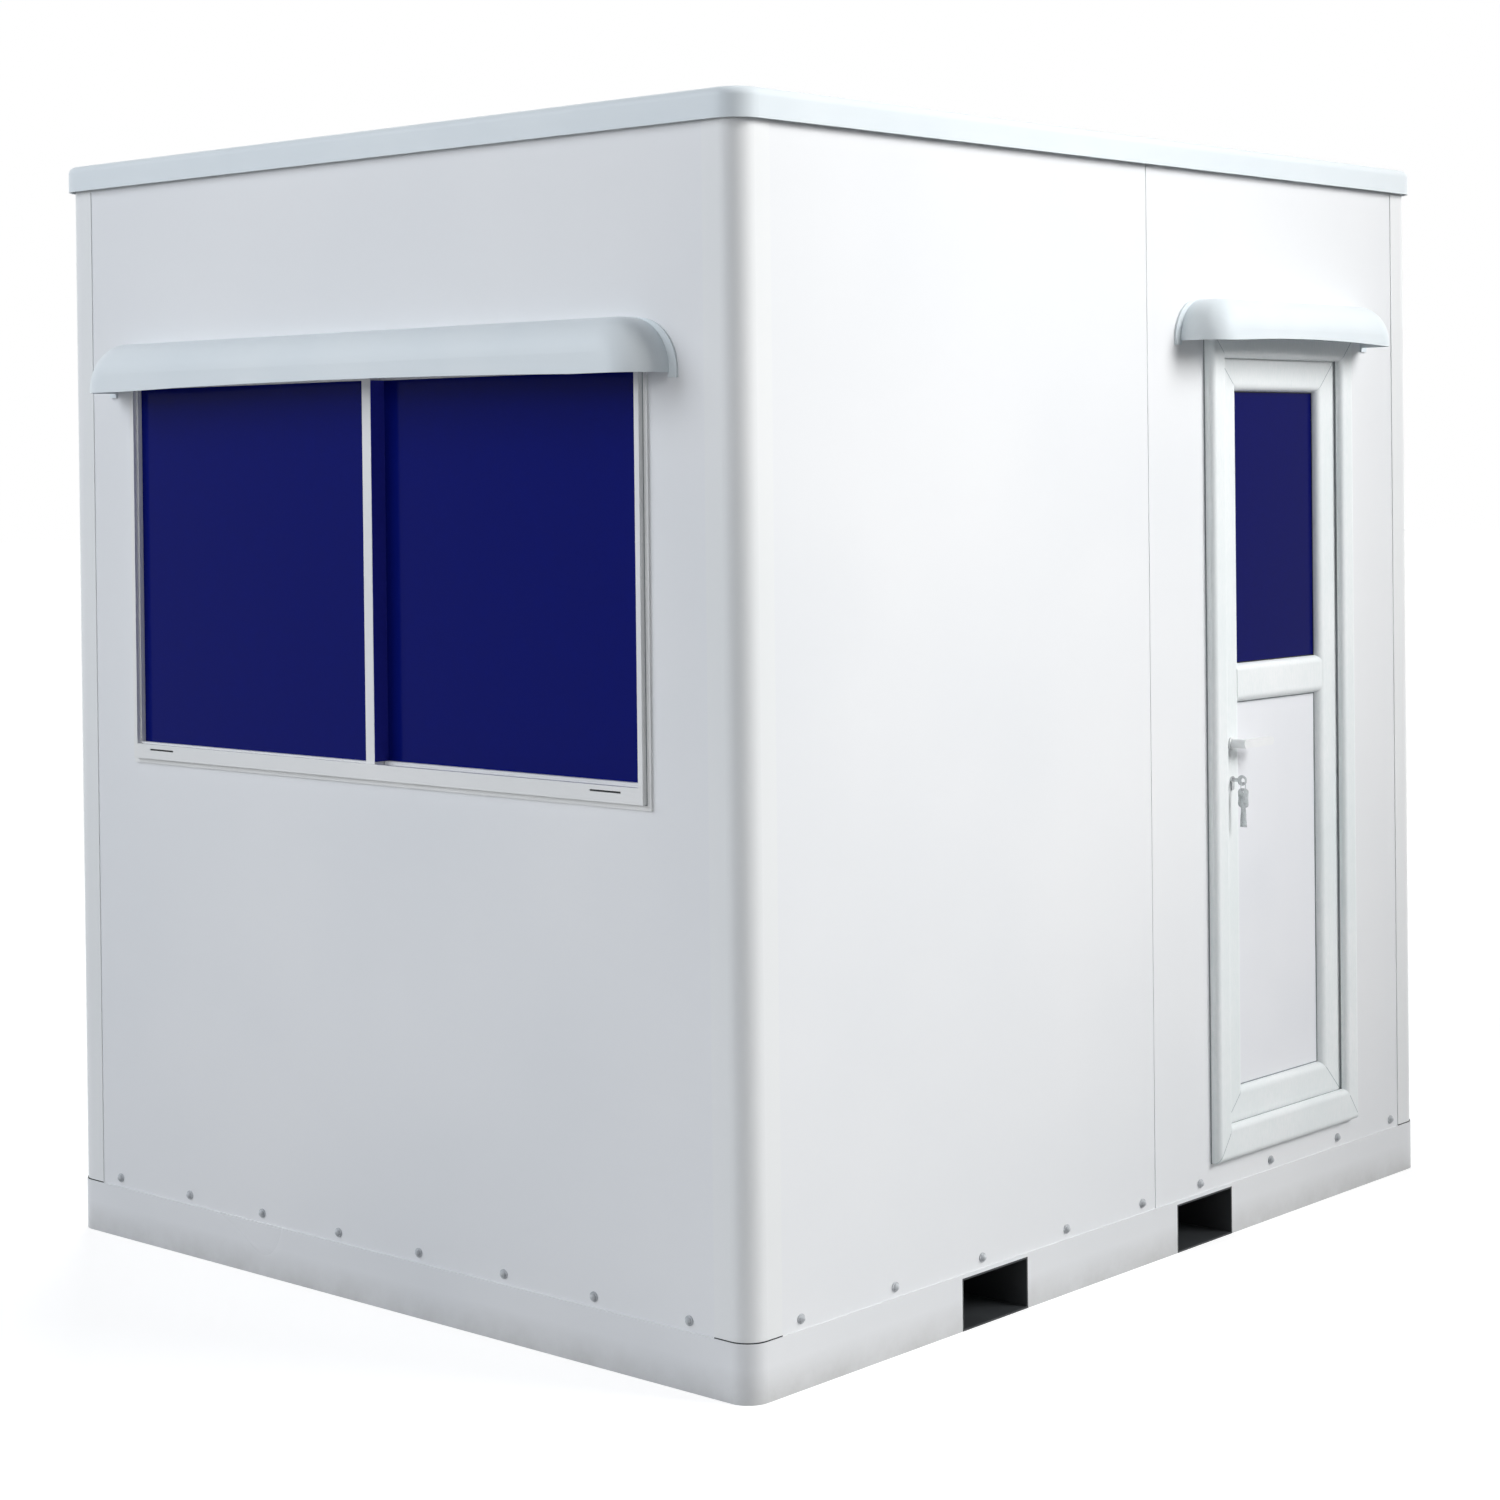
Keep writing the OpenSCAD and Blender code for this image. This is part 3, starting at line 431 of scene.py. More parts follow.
@dataclass(frozen=True)
class PlankVinyl(Finish):
    """Printed vinyl planks on board: brown streaks along each plank, dark joints between them."""

    light: str
    dark: str
    joint: str = "#2E241C"
    plank_mm: tuple[float, float] = (1200.0, 150.0)
    joint_mm: float = 1.2
    streak_mm: float = 18.0
    streak_squeeze: float = 0.07
    streak_most: float = 0.6
    streak_depth_mm: float = 0.2
    roughness: float = 0.45

    def shader(self, tree: Any, place: Any) -> Any:
        """Build the nodes of the surface.

        Args:
            tree: Node tree of the material.
            place: Object coordinate socket.

        Returns:
            The shader node.
        """
        bricks = add_node(tree, "ShaderNodeTexBrick",
                          {"Vector": place, "Color1": linear(self.light), "Color2": linear(self.dark),
                           "Mortar": linear(self.joint), "Scale": 1.0, "Mortar Size": self.joint_mm * MM,
                           "Brick Width": self.plank_mm[0] * MM, "Row Height": self.plank_mm[1] * MM})
        stretch = add_node(tree, "ShaderNodeMapping",
                           {"Vector": place, "Scale": (self.streak_squeeze, 1.0, 1.0)})
        streak = add_node(tree, "ShaderNodeTexNoise",
                          {"Vector": stretch.outputs[0], "Scale": per_metre(self.streak_mm), "Detail": 6.0})
        amount = add_node(tree, "ShaderNodeMapRange",
                          {"Value": streak.outputs["Fac"], "From Min": 0.3, "From Max": 0.75,
                           "To Max": self.streak_most})
        tone = add_node(tree, "ShaderNodeMix",
                        {SHARE: amount.outputs[0], FIRST: bricks.outputs["Color"], SECOND: linear(self.dark)},
                        data_type="RGBA")
        bump = add_node(tree, "ShaderNodeBump",
                        {"Height": streak.outputs["Fac"], "Strength": 0.25,
                         "Distance": self.streak_depth_mm * MM})
        return add_node(tree, "ShaderNodeBsdfPrincipled",
                        {"Base Color": tone.outputs[MIXED], "Roughness": self.roughness, "IOR": 1.5,
                         "Normal": bump.outputs[0]})


# Coil-coated steel skin of a sandwich panel: flat bright white with a very fine orange peel.
PANEL = SmoothSheet("coil-coated steel, rolled white", "#F1F2F3", "#EBEDEF", 0.33)
# Folded steel under brushed gloss paint: same white, a little grey where it meets the ground.
BASE_PAINT = SmoothSheet("mild steel, gloss white paint", "#EFF0F1", "#E7E9EB", 0.3, peel_mm=6.0,
                         peel_depth_mm=0.09, grime_top_mm=70.0)
# Extruded PVC corner profile: smooth and slightly brighter than the panels.
POST = SmoothSheet("PVC, extruded white profile", "#F3F4F4", "#EDEFEF", 0.38, peel_mm=9.0, peel_depth_mm=0.03)
# Glass-fibre moulding under gelcoat: glossy and faintly wavy, with a cool cast.
GELCOAT = SmoothSheet("glass-fibre laminate, white gelcoat", "#E8EFF2", "#E2EAEE", 0.36, cloud_mm=240.0,
                      peel_mm=60.0, peel_depth_mm=0.3, coat=0.1)
# Extruded PVC of the window: plain smooth white.
WINDOW_PVC = SmoothSheet("PVC, extruded white window bar", "#F2F2F1", "#ECEDEC", 0.3, cloud_mm=300.0,
                         peel_mm=25.0)
# Foil-grained PVC of the door: pale, with painted shade in a cool green tone in the hollows of the grain.
DOOR_PVC = GrainedPlastic("PVC, grained white door bar", "#F8FAFA", "#ECF2F2")
# Pressed PVC sheet of the door's lower half: flat, a shade greyer than its bars.
DOOR_SHEET = SmoothSheet("PVC, pressed white sheet", "#F0F1F4", "#E9EBEF", 0.42, cloud_mm=380.0, peel_mm=5.0,
                         peel_depth_mm=0.06)
# Seams of welded PVC corners, scraped flat: thin dull lines across the bars.
WELD = SmoothSheet("PVC, scraped weld seam", "#AEB8BB", "#A3ADB0", 0.6, cloud_mm=30.0, peel_mm=1.5)
# Float glass with dark blue film: an even deep navy with little reflection.
GLASS = FilmedGlass("float glass, dark blue solar film", "#0A146A", "#0E1974")
# The same film on the door's pane, darkened as painted shade because the pane stands in more light.
DOOR_GLASS_SHADED = FilmedGlass("float glass, blue solar film with painted shade", "#060B58", "#0A1062")
# Hot-rolled steel under dark primer: nearly black inside the fork tunnels.
PRIMER = SmoothSheet("mild steel, dark primer", "#3A3D3F", "#2C2E30", 0.6, cloud_mm=160.0, peel_mm=4.0,
                     peel_depth_mm=0.12)
# Vinyl planks on the floor board: brown streaks between thin dark joints.
FLOOR_VINYL = PlankVinyl("vinyl, printed plank", "#9A8068", "#7A6450")
# Plated steel of hinges, lock and keys: bright with fine drawn lines.
PLATED = Metal("steel, bright nickel plate", "#C9CBCD", "#9A9C9E", 0.28)
# Zinc-plated screw heads under thin white paint: pale grey dots along the walls.
SCREW = Metal("steel, zinc plate with thin white paint", "#C9CCCF", "#9DA1A6", 0.38, metallic=0.0)
# Die-cast lever under white powder coat: an even bright white.
LEVER_COAT = SmoothSheet("die-cast aluminium, white powder coat", "#F3F4F4", "#EDEEEF", 0.3, cloud_mm=60.0,
                         peel_mm=2.0, peel_depth_mm=0.05)
# Extruded rubber seals: thin black lines in the joints. The same black also paints the shadow line under the
# posts and part of the shade in the drain slots.
SEAL = Rubber("EPDM rubber, extruded black", "#17181A", "#2A2C2E")
# Grey rubber of the door's weather seal and of the panel's gasket: soft lines between the white bars.
GREY_SEAL = Rubber("TPE rubber, extruded grey", "#8A9093", "#A0A6A9")
# Bead of grey sealant in narrow joints: soft mid grey lines.
SEALANT = Rubber("silicone sealant, grey bead", "#7F868A", "#9AA1A4", roughness=0.6)
# Pile of the brush seal between the sashes: blue and dull, always in shade, with its blue raised as painted
# light so it reads as the panes do.
BRUSH_LIT_PILE = Rubber("nylon pile, blue brush seal with painted light", "#1A2296", "#1E269E", roughness=0.9, bloom_mm=8.0)


def dress(names: Sequence[str], finish: Finish) -> None:
    """Give CAD nodes a finish.

    Args:
        names: Node names.
        finish: Finish whose material they take.
    """
    for name in names:
        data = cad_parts[name].data
        data.materials.clear()
        data.materials.append(finish.material())
        LOG.info("dressed %s with %s", name, finish.name)


def add_piece(name: str, mesh: Any, finish: Finish, body: Body) -> None:
    """Make an object of a finished mesh and let it ride on a body.

    Args:
        name: Name of the piece.
        mesh: Mesh in the frame of the booth.
        finish: Finish whose material it takes.
        body: Body that carries it.
    """
    mesh.materials.clear()
    mesh.materials.append(finish.material())
    piece = bpy.data.objects.new(name, mesh)
    bpy.context.scene.collection.objects.link(piece)
    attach(piece, body.value)
    LOG.info("made %s, %d faces", name, len(mesh.polygons))


def close_mesh(name: str, built: Any) -> Any:
    """Turn a built shape into a mesh whose faces point outwards.

    Args:
        name: Name of the mesh.
        built: Shape being built, which is freed.

    Returns:
        The new mesh.
    """
    bmesh.ops.recalc_face_normals(built, faces=built.faces)
    mesh = bpy.data.meshes.new(name)
    built.to_mesh(mesh)
    built.free()
    return mesh


def join_rings(built: Any, here: Sequence[Any], after: Sequence[Any]) -> None:
    """Join two rings of four points by four faces."""
    for j in range(4):
        built.faces.new((here[j], here[(j + 1) % 4], after[(j + 1) % 4], after[j]))


def band_mesh(name: str, plane: Wall, centre: Vector, outer: tuple[float, float], band: float,
              depth: tuple[float, float], round_mm: float = 0.0) -> Any:
    """Closed rectangular band in the plane of a wall.

    Args:
        name: Name of the mesh.
        plane: Wall whose outward direction the depth is measured along.
        centre: Middle of the band, on the plane from which depth is measured.
        outer: Half width and half height of the outer edge, in metres.
        band: Width of the band, in metres.
        depth: Inner and outer place along the outward direction, in metres.
        round_mm: Bevel on the long edges, in millimetres.

    Returns:
        The new mesh.
    """
    out = Vector((plane.value[0], plane.value[1], 0.0))
    side = Vector((-plane.value[1], plane.value[0], 0.0))
    up = Vector((0.0, 0.0, 1.0))
    built = bmesh.new()
    loops = []
    for shrink, place in ((0.0, depth[0]), (0.0, depth[1]), (band, depth[1]), (band, depth[0])):
        half_w, half_h = outer[0] - shrink, outer[1] - shrink
        loops.append([built.verts.new(centre + side * (half_w * a) + up * (half_h * b) + out * place)
                      for a, b in CORNERS])
    for k in range(4):
        join_rings(built, loops[k], loops[(k + 1) % 4])
    if round_mm > 0:
        short = [{loops[k][j], loops[(k + 1) % 4][j]} for k in range(4) for j in range(4)]
        edges = [e for e in built.edges if set(e.verts) not in short]
        bmesh.ops.bevel(built, geom=edges, offset=round_mm * MM, segments=2, affect="EDGES", profile=0.5)
    return close_mesh(name, built)


def block_mesh(name: str, boxes: Sequence[tuple[Vector, Vector]], round_mm: float = 0.2) -> Any:
    """Small blocks with softened edges in one mesh.

    Args:
        name: Name of the mesh.
        boxes: Low and high corner of each block.
        round_mm: Bevel on all edges, in millimetres.

    Returns:
        The new mesh.
    """
    built = bmesh.new()
    for low, high in boxes:
        place = Matrix.Translation((low + high) / 2) @ Matrix.Diagonal((*(high - low), 1.0))
        bmesh.ops.create_cube(built, size=1.0, matrix=place)
    bmesh.ops.bevel(built, geom=list(built.edges), offset=round_mm * MM, segments=2, affect="EDGES",
                    profile=0.5)
    return close_mesh(name, built)


def ribbon_mesh(name: str, paths: Sequence[tuple[Sequence[Vector], Vector, Vector]], wide: float, lift: float,
                sink: float) -> Any:
    """Thin strips laid along paths on a surface, closed all round.

    Args:
        name: Name of the mesh.
        paths: Points of each strip, the direction across it and the direction it lifts in.
        wide: Width of a strip, in metres.
        lift: Height of a strip above its path, in metres.
        sink: Depth of a strip below its path, in metres.

    Returns:
        The new mesh.
    """
    built = bmesh.new()
    for points, across, out in paths:
        rings = [[built.verts.new(p + across * (wide / 2 * a) + out * b)
                  for a, b in ((-1, -sink), (1, -sink), (1, lift), (-1, lift))] for p in points]
        for here, after in zip(rings, rings[1:]):
            join_rings(built, here, after)
        built.faces.new(rings[0])
        built.faces.new(list(reversed(rings[-1])))
    return close_mesh(name, built)


@dataclass
class Base:
    """Steel base: painted rails round the outside, dark tunnels and joists inside."""

    rails: tuple[str, ...] = ("base_rail_front", "base_rail_back", "base_rail_right", "base_rail_left")
    steel: tuple[str, ...] = ("fork_tunnel_front", "fork_tunnel_rear", "floor_joists")

    def build(self) -> None:
        """Dress the rails, the steel below the floor and the floor itself."""
        dress(self.rails, BASE_PAINT)
        dress(self.steel, PRIMER)
        dress(("floor_deck",), FLOOR_VINYL)


@dataclass
class ScrewRows:
    """Round-headed screws with washers along the foot of each wall."""

    washer_radius_mm: float = 10.5
    washer_thick_mm: float = 2.2
    head_radius_mm: float = 7.2
    head_high_mm: float = 7.6
    washer_sides: int = 20
    head_segments: int = 16
    head_rings: int = 10
    height_mm: float = 142.0
    window_x_mm: tuple[float, ...] = (-934, -667, -400, -133, 133, 400, 667, 934)
    door_y_mm: tuple[float, ...] = (-1145, -848, -553, -247, 48, 287, 594, 904, 1165)
    tree: Any = None

    def make_tree(self) -> Any:
        """Build the node tree that sets a washer and a domed head on every point.

        Returns:
            The geometry node tree.
        """
        tree = bpy.data.node_groups.new("screw_row", "GeometryNodeTree")
        face = tree.interface
        face.new_socket("Geometry", in_out="INPUT", socket_type="NodeSocketGeometry")
        for name in ("Washer Radius", "Washer Thickness", "Head Radius", "Head Height"):
            face.new_socket(name, in_out="INPUT", socket_type="NodeSocketFloat")
        face.new_socket("Facing", in_out="INPUT", socket_type="NodeSocketVector")
        face.new_socket("Finish", in_out="INPUT", socket_type="NodeSocketMaterial")
        face.new_socket("Geometry", in_out="OUTPUT", socket_type="NodeSocketGeometry")
        given = add_node(tree, "NodeGroupInput").outputs
        washer = add_node(tree, "GeometryNodeMeshCylinder",
                          {"Vertices": self.washer_sides, "Radius": given["Washer Radius"],
                           "Depth": given["Washer Thickness"]})
        half = add_node(tree, "ShaderNodeMath", {0: given["Washer Thickness"], 1: 0.5}, operation="MULTIPLY")
        lift = add_node(tree, "ShaderNodeCombineXYZ", {"Z": half.outputs[0]})
        raised = add_node(tree, "GeometryNodeTransform",
                          {"Geometry": washer.outputs["Mesh"], "Translation": lift.outputs[0]})
        dome = add_node(tree, "GeometryNodeMeshUVSphere",
                        {"Segments": self.head_segments, "Rings": self.head_rings,
                         "Radius": given["Head Radius"]})
        flat = add_node(tree, "ShaderNodeMath",
                        {0: given["Head Height"], 1: given["Head Radius"]}, operation="DIVIDE")
        squash = add_node(tree, "ShaderNodeCombineXYZ", {"X": 1.0, "Y": 1.0, "Z": flat.outputs[0]})
        seat = add_node(tree, "ShaderNodeCombineXYZ", {"Z": given["Washer Thickness"]})
        head = add_node(tree, "GeometryNodeTransform",
                        {"Geometry": dome.outputs["Mesh"], "Translation": seat.outputs[0],
                         "Scale": squash.outputs[0]})
        smooth = add_node(tree, "GeometryNodeSetShadeSmooth", {"Geometry": head.outputs[0]})
        both = add_node(tree, "GeometryNodeJoinGeometry")
        tree.links.new(raised.outputs[0], both.inputs[0])
        tree.links.new(smooth.outputs[0], both.inputs[0])
        turn = add_node(tree, "FunctionNodeEulerToRotation", {"Euler": given["Facing"]})
        spread = add_node(tree, "GeometryNodeInstanceOnPoints",
                          {"Points": given["Geometry"], "Instance": both.outputs[0],
                           "Rotation": turn.outputs[0]})
        real = add_node(tree, "GeometryNodeRealizeInstances", {"Geometry": spread.outputs[0]})
        coat = add_node(tree, "GeometryNodeSetMaterial",
                        {"Geometry": real.outputs[0], "Material": given["Finish"]})
        add_node(tree, "NodeGroupOutput", {"Geometry": coat.outputs[0]})
        return tree

    def row(self, name: str, wall: Wall, places: Sequence[Vector]) -> None:
        """Make one row of screws on a wall.

        Args:
            name: Name of the piece.
            wall: Wall that carries the row.
            places: Points on the wall's outer face.
        """
        points = bpy.data.meshes.new(name + "_points")
        points.from_pydata([tuple(p) for p in places], [], [])
        carrier = bpy.data.objects.new(name + "_points", points)
        bpy.context.scene.collection.objects.link(carrier)
        modifier = carrier.modifiers.new("screws", "NODES")
        modifier.node_group = self.tree
        out = Vector((wall.value[0], wall.value[1], 0.0))
        facing = out.to_track_quat("Z", "Y").to_euler()
        values = {"Washer Radius": self.washer_radius_mm * MM, "Washer Thickness": self.washer_thick_mm * MM,
                  "Head Radius": self.head_radius_mm * MM, "Head Height": self.head_high_mm * MM,
                  "Facing": tuple(facing), "Finish": SCREW.material()}
        for item in self.tree.interface.items_tree:
            if item.in_out == "INPUT" and item.name in values:
                modifier[item.identifier] = values[item.name]
        graph = bpy.context.evaluated_depsgraph_get()
        mesh = bpy.data.meshes.new_from_object(carrier.evaluated_get(graph), depsgraph=graph)
        bpy.data.objects.remove(carrier)
        mesh.name = name
        add_piece(name, mesh, SCREW, Body.BOOTH)

    def build(self) -> None:
        """Make the rows on all four walls, the unseen ones repeating those in sight."""
        self.tree = self.make_tree()
        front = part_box("front_wall")[0].y
        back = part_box("back_wall")[1].y
        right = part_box("right_wall_panel")[1].x
        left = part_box("left_wall_front_panel")[0].x
        z = self.height_mm * MM
        self.row("screws_window_wall", Wall.WINDOW, [Vector((x * MM, front, z)) for x in self.window_x_mm])
        self.row("screws_back_wall", Wall.BACK, [Vector((x * MM, back, z)) for x in self.window_x_mm])
        self.row("screws_door_wall", Wall.DOOR, [Vector((right, y * MM, z)) for y in self.door_y_mm])
        self.row("screws_plain_wall", Wall.PLAIN, [Vector((left, y * MM, z)) for y in self.door_y_mm])


@dataclass
class Shell:
    """Walls, corner posts and roof."""

    panels: tuple[str, ...] = ("front_wall", "back_wall", "right_wall_panel", "door_wall_front_strip",
                               "door_wall_rear_strip", "door_wall_header", "door_wall_sill",
                               "left_wall_front_panel", "left_wall_rear_panel", "roof_panel")
    posts: tuple[str, ...] = ("post_front_right", "post_back_right", "post_back_left", "post_front_left")
    post_round_mm: float = 48.0
    foot_gap_mm: float = 2.2
    foot_shadow_mm: float = 0.6
    corner_steps: int = 12

    def build(self) -> None:
        """Dress the panels, posts, roof cap and hoods and add the painted shadow line under the posts."""
        dress(self.panels, PANEL)
        dress(self.posts, POST)
        dress(("roof_cap", "window_hood", "door_hood"), GELCOAT)
        self.foot_shadow_lines()

    def foot_shadow_lines(self) -> None:
        """Black strip of painted shadow round the foot of each post, on the edge of the base."""
        radius = self.post_round_mm * MM
        turns = [math.radians(90 - 90 * k / self.corner_steps) for k in range(self.corner_steps + 1)]
        up = Vector((0, 0, 1))
        paths = []
        for name in self.posts:
            low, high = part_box(name)
            sx = 1.0 if low.x + high.x > 0 else -1.0
            sy = 1.0 if low.y + high.y > 0 else -1.0
            z = low.z + self.foot_gap_mm / 2 * MM
            far = Vector((high.x if sx > 0 else low.x, high.y if sy > 0 else low.y, z))
            near = Vector((low.x if sx > 0 else high.x, low.y if sy > 0 else high.y, z))
            curve = [Vector((far.x - sx * radius * (1 - math.cos(t)),
                             far.y - sy * radius * (1 - math.sin(t)), far.z)) for t in turns]
            paths.append(([Vector((near.x, far.y, far.z)), curve[0]], up, Vector((0, sy, 0))))
            paths.append(([curve[-1], Vector((far.x, near.y, far.z))], up, Vector((sx, 0, 0))))
            for one, two in zip(curve, curve[1:]):
                middle = (one + two) / 2
                out = Vector((middle.x - far.x + sx * radius, middle.y - far.y + sy * radius, 0))
                paths.append(([one, two], up, out.normalized()))
        # The black strip is painted shadow standing in for the dark gap at each post's foot.
        bead = self.foot_shadow_mm * MM
        mesh = ribbon_mesh("post_foot_shadow_lines", paths, self.foot_gap_mm * MM, bead, bead)
        add_piece("post_foot_shadow_lines", mesh, SEAL, Body.BOOTH)


@dataclass
class Window:
    """Sliding window with its seals and drain flaps."""

    bars: tuple[str, ...] = ("window_frame", "window_sash_left", "window_sash_right")
    flange_mm: float = 12.0
    groove_mm: float = 1.6
    groove_back_mm: float = 0.5
    groove_proud_mm: float = 0.4
    flange_thick_mm: float = 5.0
    rim_proud_mm: float = 17.0
    meeting_mm: float = 28.0
    sash_edge_mm: float = 12.0
    slot_in_mm: float = 118.0
    slot_up_mm: float = 34.0
    slot_mm: tuple[float, float] = (88.0, 4.0)
    brush_back_mm: float = 0.8
    brush_thick_mm: float = 0.9
    brush_bite_mm: float = 2.5
    flap_back_mm: float = 1.2
    flap_thick_mm: float = 3.0

    def build(self) -> None:
        """Dress the bars and panes and add the groove seal, the brush seal in painted light and the drain
        flaps with painted shade.
        """
        dress(self.bars, WINDOW_PVC)
        dress(("window_panes",), GLASS)
        self.groove_seal()
        self.brush_seal()
        self.drain_shade_flaps()

    def groove_seal(self) -> None:
        """Grey bead in the corner between the flange and the rim."""
        low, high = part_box("window_frame")
        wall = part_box("front_wall")[0].y
        centre = Vector(((low.x + high.x) / 2, wall, (low.z + high.z) / 2))
        half = ((high.x - low.x) / 2, (high.z - low.z) / 2)
        inset = (self.flange_mm - self.groove_mm) * MM
        depth = (self.groove_back_mm * MM, (self.flange_thick_mm + self.groove_proud_mm) * MM)
        groove = band_mesh("window_groove_seal", Wall.WINDOW, centre, (half[0] - inset, half[1] - inset),
                           self.groove_mm * MM, depth)
        add_piece("window_groove_seal", groove, SEALANT, Body.BOOTH)

    def brush_seal(self) -> None:
        """Dark pile along the side of the meeting bars, from the outer face back to the right pane."""
        low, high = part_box("window_sash_left")
        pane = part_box("window_panes")[0].y
        edge = self.sash_edge_mm * MM
        side = self.meeting_mm / 2 * MM
        front = low.y + self.brush_back_mm * MM
        deep = pane + (high.y - low.y) + self.brush_bite_mm * MM
        reach = side + self.brush_thick_mm * MM
        # The pile's blue is raised as painted light against the shade beside the meeting bar.
        mesh = block_mesh("window_brush_seal", [(Vector((side, front, low.z + edge)),
                                                 Vector((reach, deep, high.z - edge)))])
        add_piece("window_brush_seal", mesh, BRUSH_LIT_PILE, Body.BOOTH)

    def drain_shade_flaps(self) -> None:
        """Dark rubber flaps just inside the two drain slots, their black partly painted shade in the slots.
        """
        low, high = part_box("window_frame")
        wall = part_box("front_wall")[0].y
        face = wall - (self.rim_proud_mm - self.flap_back_mm) * MM
        back = face + self.flap_thick_mm * MM
        z = low.z + self.slot_up_mm * MM
        reach, tall = self.slot_mm[0] / 2 * MM, self.slot_mm[1] / 2 * MM
        places = (low.x + self.slot_in_mm * MM, high.x - self.slot_in_mm * MM)
        # The flaps are real, and their black also paints the shade inside the slots.
        mesh = block_mesh("window_drain_shade_flaps", [(Vector((x - reach, face, z - tall)),
                                                  Vector((x + reach, back, z + tall))) for x in places])
        add_piece("window_drain_shade_flaps", mesh, SEAL, Body.BOOTH)


@dataclass
class DoorSet:
    """Door frame and leaf of mitred bars, with seals, pane, panel, hinges and lock."""

    frame_bars: tuple[str, ...] = ("door_frame_head", "door_frame_sill", "door_frame_lock_jamb",
                                   "door_frame_hinge_jamb")
    leaf_bars: tuple[str, ...] = ("leaf_lock_stile", "leaf_hinge_stile", "leaf_top_rail", "leaf_mid_rail",
                                  "leaf_bottom_rail")
    metal: tuple[str, ...] = ("frame_hinges", "leaf_hinges", "lock_set", "door_keys")
    frame_face_mm: tuple[float, float] = (60.0, 82.0)
    frame_round_mm: float = 14.0
    frame_proud_mm: float = 25.0
    leaf_bar_mm: float = 84.0
    leaf_round_mm: float = 18.0
    lip_lap_mm: float = 6.0
    lip_gap_mm: float = 5.0
    seal_wide_mm: float = 9.0
    seal_thick_mm: float = 4.0
    seal_round_mm: float = 0.8
    bead_mm: float = 1.4
    bead_proud_mm: float = 1.8
    bead_round_mm: float = 0.5
    gasket_mm: float = 2.4
    gasket_proud_mm: float = 1.2
    gasket_round_mm: float = 0.3
    weld_mm: float = 1.6
    weld_proud_mm: float = 0.12
    weld_sink_mm: float = 0.4
    weld_arc_deg: float = 84.0
    weld_steps: int = 7

    def build(self) -> None:
        """Dress the door and add its seals, gaskets, welded seams and joint to the wall."""
        dress(self.frame_bars, DOOR_PVC)
        dress(self.leaf_bars, DOOR_PVC)
        dress(("door_pane",), DOOR_GLASS_SHADED)
        dress(("door_infill",), DOOR_SHEET)
        dress(self.metal, PLATED)
        dress(("lever_pair",), LEVER_COAT)
        self.weather_seal()
        self.wall_joint()
        self.gaskets()
        self.welds()

    def outline(self, names: Sequence[str], face: float) -> tuple[Vector, tuple[float, float]]:
        """Middle of a set of bars on a face of the door wall, and their half width and half height.

        Args:
            names: Node names of the bars.
            face: Place of the face along X, in metres.

        Returns:
            The middle, and the half width and half height.
        """
        boxes = [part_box(name) for name in names]
        low = Vector((face, min(b[0].y for b in boxes), min(b[0].z for b in boxes)))
        high = Vector((face, max(b[1].y for b in boxes), max(b[1].z for b in boxes)))
        return (low + high) / 2, ((high.y - low.y) / 2, (high.z - low.z) / 2)

    def weather_seal(self) -> None:
        """Rubber strip behind the lip, just clear of the leaf."""
        leaf_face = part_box("leaf_lock_stile")[1].x
        middle, half = self.outline(self.leaf_bars, leaf_face)
        grow = (self.seal_wide_mm - self.lip_lap_mm) * MM
        depth = ((self.lip_gap_mm - self.seal_thick_mm) * MM, self.lip_gap_mm * MM)
        ring = band_mesh("door_weather_seal", Wall.DOOR, middle, (half[0] + grow, half[1] + grow),
                         self.seal_wide_mm * MM, depth, self.seal_round_mm)
        add_piece("door_weather_seal", ring, GREY_SEAL, Body.BOOTH)

    def wall_joint(self) -> None:
        """Grey bead of sealant where the frame meets the wall."""
        middle, half = self.outline(self.frame_bars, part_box("door_wall_header")[1].x)
        bead = self.bead_mm * MM
        ring = band_mesh("door_wall_sealant", Wall.DOOR, middle, (half[0] + bead, half[1] + bead), bead,
                         (0.0, self.bead_proud_mm * MM), self.bead_round_mm)
        add_piece("door_wall_sealant", ring, SEALANT, Body.BOOTH)

    def gaskets(self) -> None:
        """Thin gaskets round the pane and the infill panel; the grey one round the infill is also painted
        shade for the gap line at the infill's edge.
        """
        lock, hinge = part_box("leaf_lock_stile"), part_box("leaf_hinge_stile")
        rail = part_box("leaf_mid_rail")
        bar = self.leaf_bar_mm * MM
        side = (lock[0].y + bar, hinge[1].y - bar)
        # The infill's grey gasket is partly a real gasket and partly painted shade of the gap round the
        # infill.
        for name, low, high, finish in (
                ("door_pane", rail[1].z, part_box("leaf_top_rail")[1].z - bar, SEAL),
                ("door_infill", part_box("leaf_bottom_rail")[0].z + bar, rail[0].z, GREY_SEAL)):
            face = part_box(name)[1].x
            middle = Vector((face, (side[0] + side[1]) / 2, (low + high) / 2))
            ring = band_mesh(name + "_gasket", Wall.DOOR, middle, ((side[1] - side[0]) / 2, (high - low) / 2),
                             self.gasket_mm * MM, (0.0, self.gasket_proud_mm * MM), self.gasket_round_mm)
            add_piece(name + "_gasket", ring, finish, Body.DOOR)

